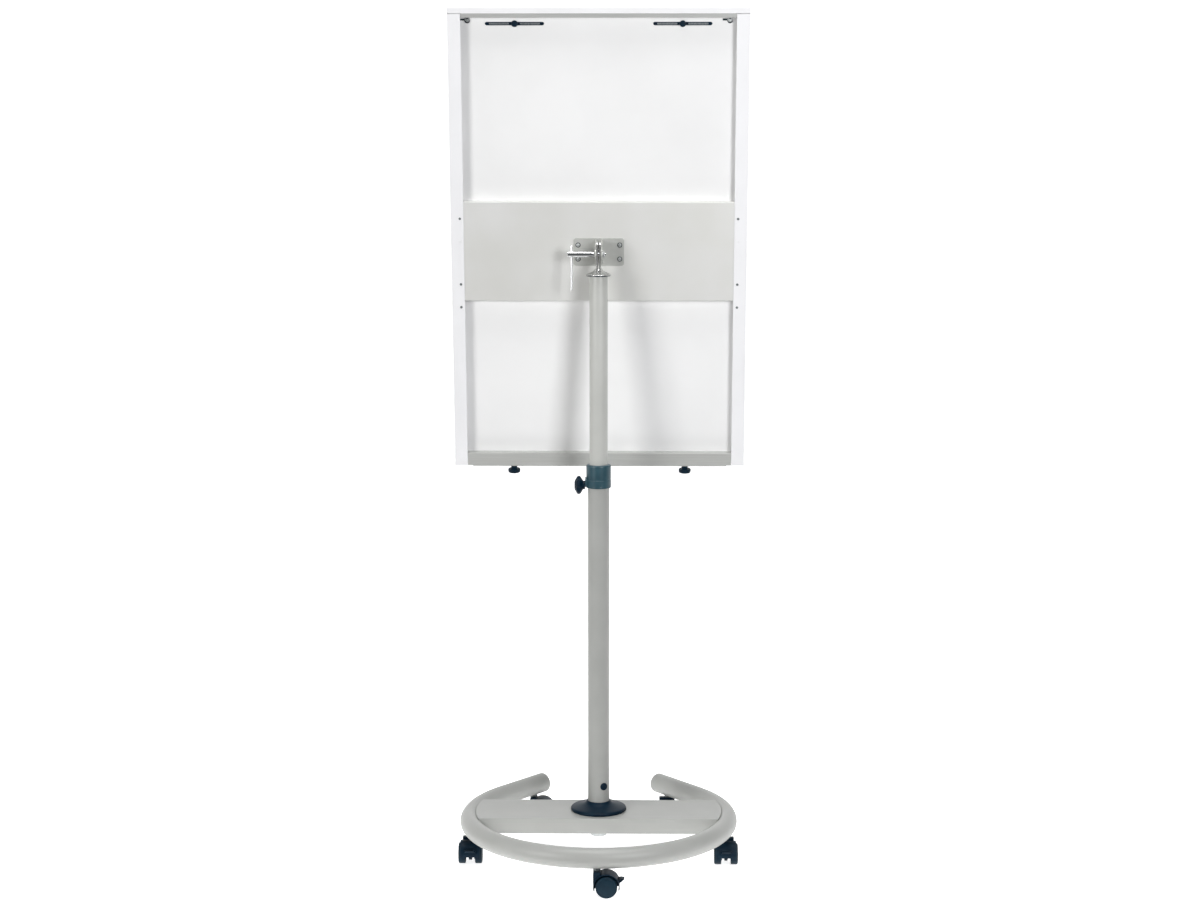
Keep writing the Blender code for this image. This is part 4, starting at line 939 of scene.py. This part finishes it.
def makeEyelets():  # riveted ring of each clamp bar bracket and the arm beside it
    rear = localBox("writing_panel", boardPlace)[1].y
    z = eyelet["height"]
    rivetRadius = eyelet["rivet"]
    for label, side in rightHand.items():
        x = side * eyelet["span"]
        clearSelection()
        bpy.ops.mesh.primitive_torus_add(major_radius=eyelet["major"], minor_radius=eyelet["minor"],
                                         major_segments=48, minor_segments=16)
        ringPiece = bpy.context.object
        ringPiece.name = "cornerEyelet_" + label
        place = Matrix.Translation((x, rear + eyelet["stand"], z)) @ Matrix.Rotation(radians(90.0), 4, "X")
        bpy.ops.object.mode_set(mode="EDIT")
        bpy.ops.mesh.select_all(action="SELECT")
        bpy.ops.transform.resize(value=(1.0, 1.0, eyelet["squash"]))
        bpy.ops.object.mode_set(mode="OBJECT")
        settle(ringPiece, finish["darkSteelAndPaintedShade"], "board", (), boardPlace @ place)
        rivet = turnProfile("cornerRivet_" + label, [
            (0.0, 0.0003), (rivetRadius - 0.0002, 0.0003), (rivetRadius, 0.0008), (0.0026, 0.0016),
            (0.0012, 0.0020), (0.0, 0.0021)], 32)
        settle(rivet, finish["zincPlate"], "board", (),
               boardPlace @ Matrix.Translation((x, rear, z)) @ faceOut)
        half = eyelet["armWidth"] / 2
        middle = z + eyelet["armRise"]
        arm = blockBetween("cornerArm_" + label, (x + eyelet["major"] + 0.0004, rear + 0.0006, middle - half),
                           (x + eyelet["armReach"], rear + 0.0022, middle + half))
        roundEdges(arm, 0.0004, 2)
        settle(arm, finish["darkSteelAndPaintedShade"], "board", (), boardPlace)


trayKnob = {"radius": 0.01435, "head": 0.0088, "hub": 0.0074, "top": 0.0168, "screw": 0.0025, "lobes": 10,
            "dipRadius": 0.0020, "dipOut": 0.0014}


def makeTrayKnobs():  # ribbed nut with a flat underside and a round hub against the tray
    wide = trayKnob["radius"]
    head = trayKnob["head"]
    top = trayKnob["top"]
    hub = trayKnob["hub"]
    screw = trayKnob["screw"]
    dipAt = wide + trayKnob["dipOut"]
    for label in rightHand:
        low, high = localBox("tray_knob_" + label, boardPlace)
        middle = (low + high) / 2
        knob = turnProfile("trayKnob_" + label, [
            (0.0, 0.0004), (0.0070, 0.0004), (0.0078, 0.0), (wide - 0.0024, 0.0), (wide - 0.0010, 0.0006),
            (wide - 0.0003, 0.0020), (wide, 0.0038), (wide, head - 0.0010), (wide - 0.0004, head - 0.0003),
            (wide - 0.0012, head), (hub + 0.0008, head), (hub, head + 0.0008), (hub, top - 0.0006),
            (hub - 0.0006, top), (screw, top), (screw, high.z - low.z), (0.0, high.z - low.z)], 72)
        for index in range(trayKnob["lobes"]):
            turn = 2 * pi * (index + 0.5) / trayKnob["lobes"]
            clearSelection()
            bpy.ops.mesh.primitive_cylinder_add(vertices=24, radius=trayKnob["dipRadius"], depth=head * 3,
                                                location=(dipAt * cos(turn), dipAt * sin(turn), 0.0))
            cutAway(knob, bpy.context.object)
        roundEdges(knob, 0.0003, 2, 40.0)
        settle(knob, finish["blackPolyamide"], "tray_knob_" + label, ["tray_knob_" + label],
               boardPlace @ Matrix.Translation((middle.x, middle.y, low.z)))


makeSideChannels()
makeTopRail()
makePanel()
for label, side in rightHand.items():
    makeSlotRail(label, side)
    makePadHook(label)
makeFoldedPlates()
makeEyelets()
makeTrayKnobs()
print("board made")


# castors
castor = {"trail": 0.022, "wheel": 0.0247, "hoodRadius": 0.0300, "hoodHalf": 0.0235, "hoodWall": 0.0024,
          "from": -14.0, "to": 196.0, "webHalf": 0.0036, "blockHalf": 0.0190, "blockTop": 0.0580,
          "socket": 0.0078, "innerFace": 0.0108, "leverRise": 21.0, "leverHalf": 0.0095, "hingeOut": 0.0040,
          "hingePin": 0.0014, "lugRadius": 0.0030, "lugThick": 0.0027, "axleRadius": 0.0030,
          "hubRadius": 0.0033}


def makeHood():  # shell over both wheels, a web between them, a block and a socket for the stem
    axle = (castor["trail"], castor["wheel"])
    wide = castor["hoodHalf"]
    radius = castor["hoodRadius"]
    section = [(radius - 0.0016, wide), (radius - 0.0006, wide - 0.0003), (radius - 0.0001, wide - 0.0010),
               (radius, wide - 0.0022)]
    section += [(r, -y) for r, y in reversed(section)]
    start = radians(castor["from"])
    line = [(axle[0] + r * cos(start), y, axle[1] + r * sin(start)) for r, y in section]
    roof = drawLine("hoodRoof", line)
    bpy.ops.mesh.spin(steps=56, angle=radians(castor["to"] - castor["from"]), center=(axle[0], 0, axle[1]),
                      axis=(0, 1, 0))
    mergeAndFaceOut()
    thicken(roof, castor["hoodWall"])

    inside = radius - castor["hoodWall"] / 2
    half = castor["webHalf"]
    outline = arcPoints(axle, inside, castor["from"], castor["to"], 40)
    outline += arcPoints(axle, 0.0165, 205.0, 335.0, 16)
    web = extrudeOutline("hoodWeb", [(x, -half, z) for x, z in outline], (0, 2 * half, 0))
    weldOn(roof, web)
    left = axle[0] - radius
    top = castor["blockTop"]
    half = castor["blockHalf"]
    outline = [(0.0086, top - 0.0010), (0.0076, top), (left + 0.0020, top), (left + 0.0006, top - 0.0006),
               (left, top - 0.0020), (left, 0.0290)] + arcPoints(axle, inside, 172.0, 117.0, 12)
    block = extrudeOutline("hoodBlock", [(x, -half, z) for x, z in outline], (0, 2 * half, 0))
    roundEdges(block, 0.0012, 3, 50.0)
    weldOn(roof, block)
    barrel = castor["socket"]
    socket = turnProfile("hoodSocket", [(0.0, 0.0385), (barrel - 0.0010, 0.0385), (barrel, 0.0395),
                                        (barrel, top - 0.0005), (0.0, top - 0.0005)], 40)
    weldOn(roof, socket)
    bpy.ops.mesh.primitive_cylinder_add(vertices=24, radius=castor["axleRadius"], depth=2 * wide - 0.0010,
                                        location=(axle[0], 0, axle[1]), rotation=(radians(90.0), 0, 0))
    weldOn(roof, bpy.context.object)
    bpy.ops.mesh.primitive_cylinder_add(vertices=40, radius=0.0058, depth=0.0400, location=(0, 0, 0.0610))
    cutAway(roof, bpy.context.object)  # leaves room for the stem
    inner = castor["innerFace"] - 2 * clearance
    notch = blockBetween("skirtNotch", (axle[0] + 0.0205, -inner, 0.0100), (axle[0] + 0.0320, inner, 0.0222))
    cutAway(roof, notch)
    roundEdges(roof, 0.0003, 2, 40.0)
    return roof


def makeBrakedHood(hood):  # the same hood with two lugs and a pin for the brake tab
    braked = copyPiece(hood, "brakedHoodPattern")
    rise = castor["leverRise"]
    axle = (castor["trail"], castor["wheel"])
    reach = castor["hoodRadius"] + castor["hingeOut"]
    hinge = (axle[0] + reach * cos(radians(rise)), axle[1] + reach * sin(radians(rise)))
    root = castor["hoodRadius"] - 0.0012
    outline = arcPoints(axle, root, rise + 7.0, rise - 7.0, 2)
    outline += arcPoints(hinge, castor["lugRadius"], rise - 90.0, rise + 90.0, 10)
    half = castor["leverHalf"]
    for side in (1.0, -1.0):
        near = side * (half + clearance)
        lug = extrudeOutline("hoodLug", [(x, near, z) for x, z in outline], (0, side * castor["lugThick"], 0))
        weldOn(braked, lug)
    bpy.ops.mesh.primitive_cylinder_add(vertices=20, radius=castor["hingePin"], depth=2 * half + 0.0020,
                                        location=(hinge[0], 0, hinge[1]), rotation=(radians(90.0), 0, 0))
    weldOn(braked, bpy.context.object)
    return braked


def makeWheel():  # one wheel turned about Z, inner face at height 0
    tread = castor["wheel"]
    hub = castor["hubRadius"]
    return turnProfile("wheelPattern", [
        (hub, 0.0), (0.0080, 0.0), (0.0080, 0.0022), (0.0200, 0.0022), (0.0210, 0.0008),
        (tread - 0.0012, 0.0004), (tread - 0.0003, 0.0012), (tread, 0.0026), (tread, 0.0132),
        (tread - 0.0004, 0.0147), (tread - 0.0013, 0.0160), (tread - 0.0027, 0.0168),
        (tread - 0.0036, 0.0168), (tread - 0.0042, 0.0161), (tread - 0.0048, 0.0165), (0.0150, 0.0169),
        (0.0080, 0.0171), (0.0, 0.0172), (0.0, 0.0150), (hub, 0.0150), (hub, 0.0)], 64)


def makeLever():  # brake tab: a wedge with a ridged top, thick at its root
    rise = radians(castor["leverRise"])
    half = castor["leverHalf"]
    side = [(-0.0020, 0.0042), (-0.0028, 0.0026), (-0.0031, 0.0), (-0.0028, -0.0026), (-0.0020, -0.0042),
            (0.0060, -0.0016), (0.0090, -0.0004), (0.0095, 0.0), (0.0090, 0.0004), (0.0072, 0.0011),
            (0.0054, 0.0019), (0.0050, 0.0023), (0.0034, 0.0029), (0.0030, 0.0033)]
    outline = []
    for along, across in side:
        outline.append((along * cos(rise) - across * sin(rise), along * sin(rise) + across * cos(rise)))
    lever = extrudeOutline("leverPattern", [(x, -half, z) for x, z in outline], (0, 2 * half, 0))
    clearSelection()
    bpy.ops.mesh.primitive_cylinder_add(vertices=20, radius=castor["hingePin"] + clearance, depth=0.06,
                                        rotation=(radians(90.0), 0, 0))
    cutAway(lever, bpy.context.object)
    roundEdges(lever, 0.0003, 2, 35.0)
    return lever


stemPin = {"shank": 0.0055, "collar": 0.0075}


def makeCastors():  # five castors heading as their joints say, three of them with a brake tab
    shank = stemPin["shank"]
    collarWide = stemPin["collar"]
    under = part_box("base_ring")[0].z
    hoodPattern = makeHood()
    brakedPattern = makeBrakedHood(hoodPattern)
    wheelPattern = makeWheel()
    leverPattern = makeLever()
    for name in ("rear", "right_side", "left_side", "right_front", "left_front"):
        stem = Vector(joints["castor_%s_swivel" % name]["pos_m"])
        axle = Vector(joints["wheel_%s_a_spin" % name]["pos_m"])
        heading = atan2(axle.y - stem.y, axle.x - stem.x)
        place = Matrix.Translation((stem.x, stem.y, 0)) @ Matrix.Rotation(heading, 4, "Z")
        braked = "brake_%s_press" % name in joints
        hood = copyPiece(brakedPattern if braked else hoodPattern, "castorHood_" + name)
        settle(hood, finish["blackPolyamide"], "castor_" + name, ["castor_hood_" + name],
               place)
        for label, side in (("a", 1.0), ("b", -1.0)):
            wheel = copyPiece(wheelPattern, "castorWheel_%s_%s" % (name, label))
            spot = Matrix.Translation((castor["trail"], side * castor["innerFace"], castor["wheel"]))
            turned = Matrix.Rotation(radians(-90.0 * side), 4, "X")
            settle(wheel, finish["wheelPolypropylene"], "wheel_%s_%s" % (name, label),
                   ["castor_wheel_%s_%s" % (name, label)], place @ spot @ turned)
        if braked:
            hinge = Vector(joints["brake_%s_press" % name]["pos_m"])
            lever = copyPiece(leverPattern, "brakeLever_" + name)
            local = place.inverted() @ hinge
            settle(lever, finish["blackPolyamide"], "brake_" + name, ["brake_lever_" + name],
                   place @ Matrix.Translation((local.x, 0, local.z)))
        low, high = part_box("castor_stem_" + name)
        pin = turnProfile("castorStem_" + name, [
            (0.0, low.z), (shank - 0.0005, low.z), (shank, low.z + 0.0008), (shank, under - 0.0008),
            (collarWide, under), (collarWide, high.z - 0.0030), (collarWide - 0.0015, high.z),
            (0.0, high.z)], 40)
        # the stem's dull zinc is painted darker as painted shade under the ring
        settle(pin, finish["dullAndShadedZinc"], "base", ["castor_stem_" + name],
               Matrix.Translation((stem.x, stem.y, 0)))
    for pattern in (hoodPattern, brakedPattern, wheelPattern, leverPattern):
        bpy.data.objects.remove(pattern)


makeCastors()
print("castors made")


# nodes that keep their own shape get their real finish
keptNodes = {
    "mast_guide_bush": "naturalNylon",
    "pen_tray": "anodisedAluminium",
    "clamp_bar": "anodisedAluminium",
    "clamp_bar_bracket_left": "zincPlate",
    "clamp_bar_bracket_right": "zincPlate",
}
for node, material in keptNodes.items():
    nodes[node].data.materials.clear()
    nodes[node].data.materials.append(finish[material])
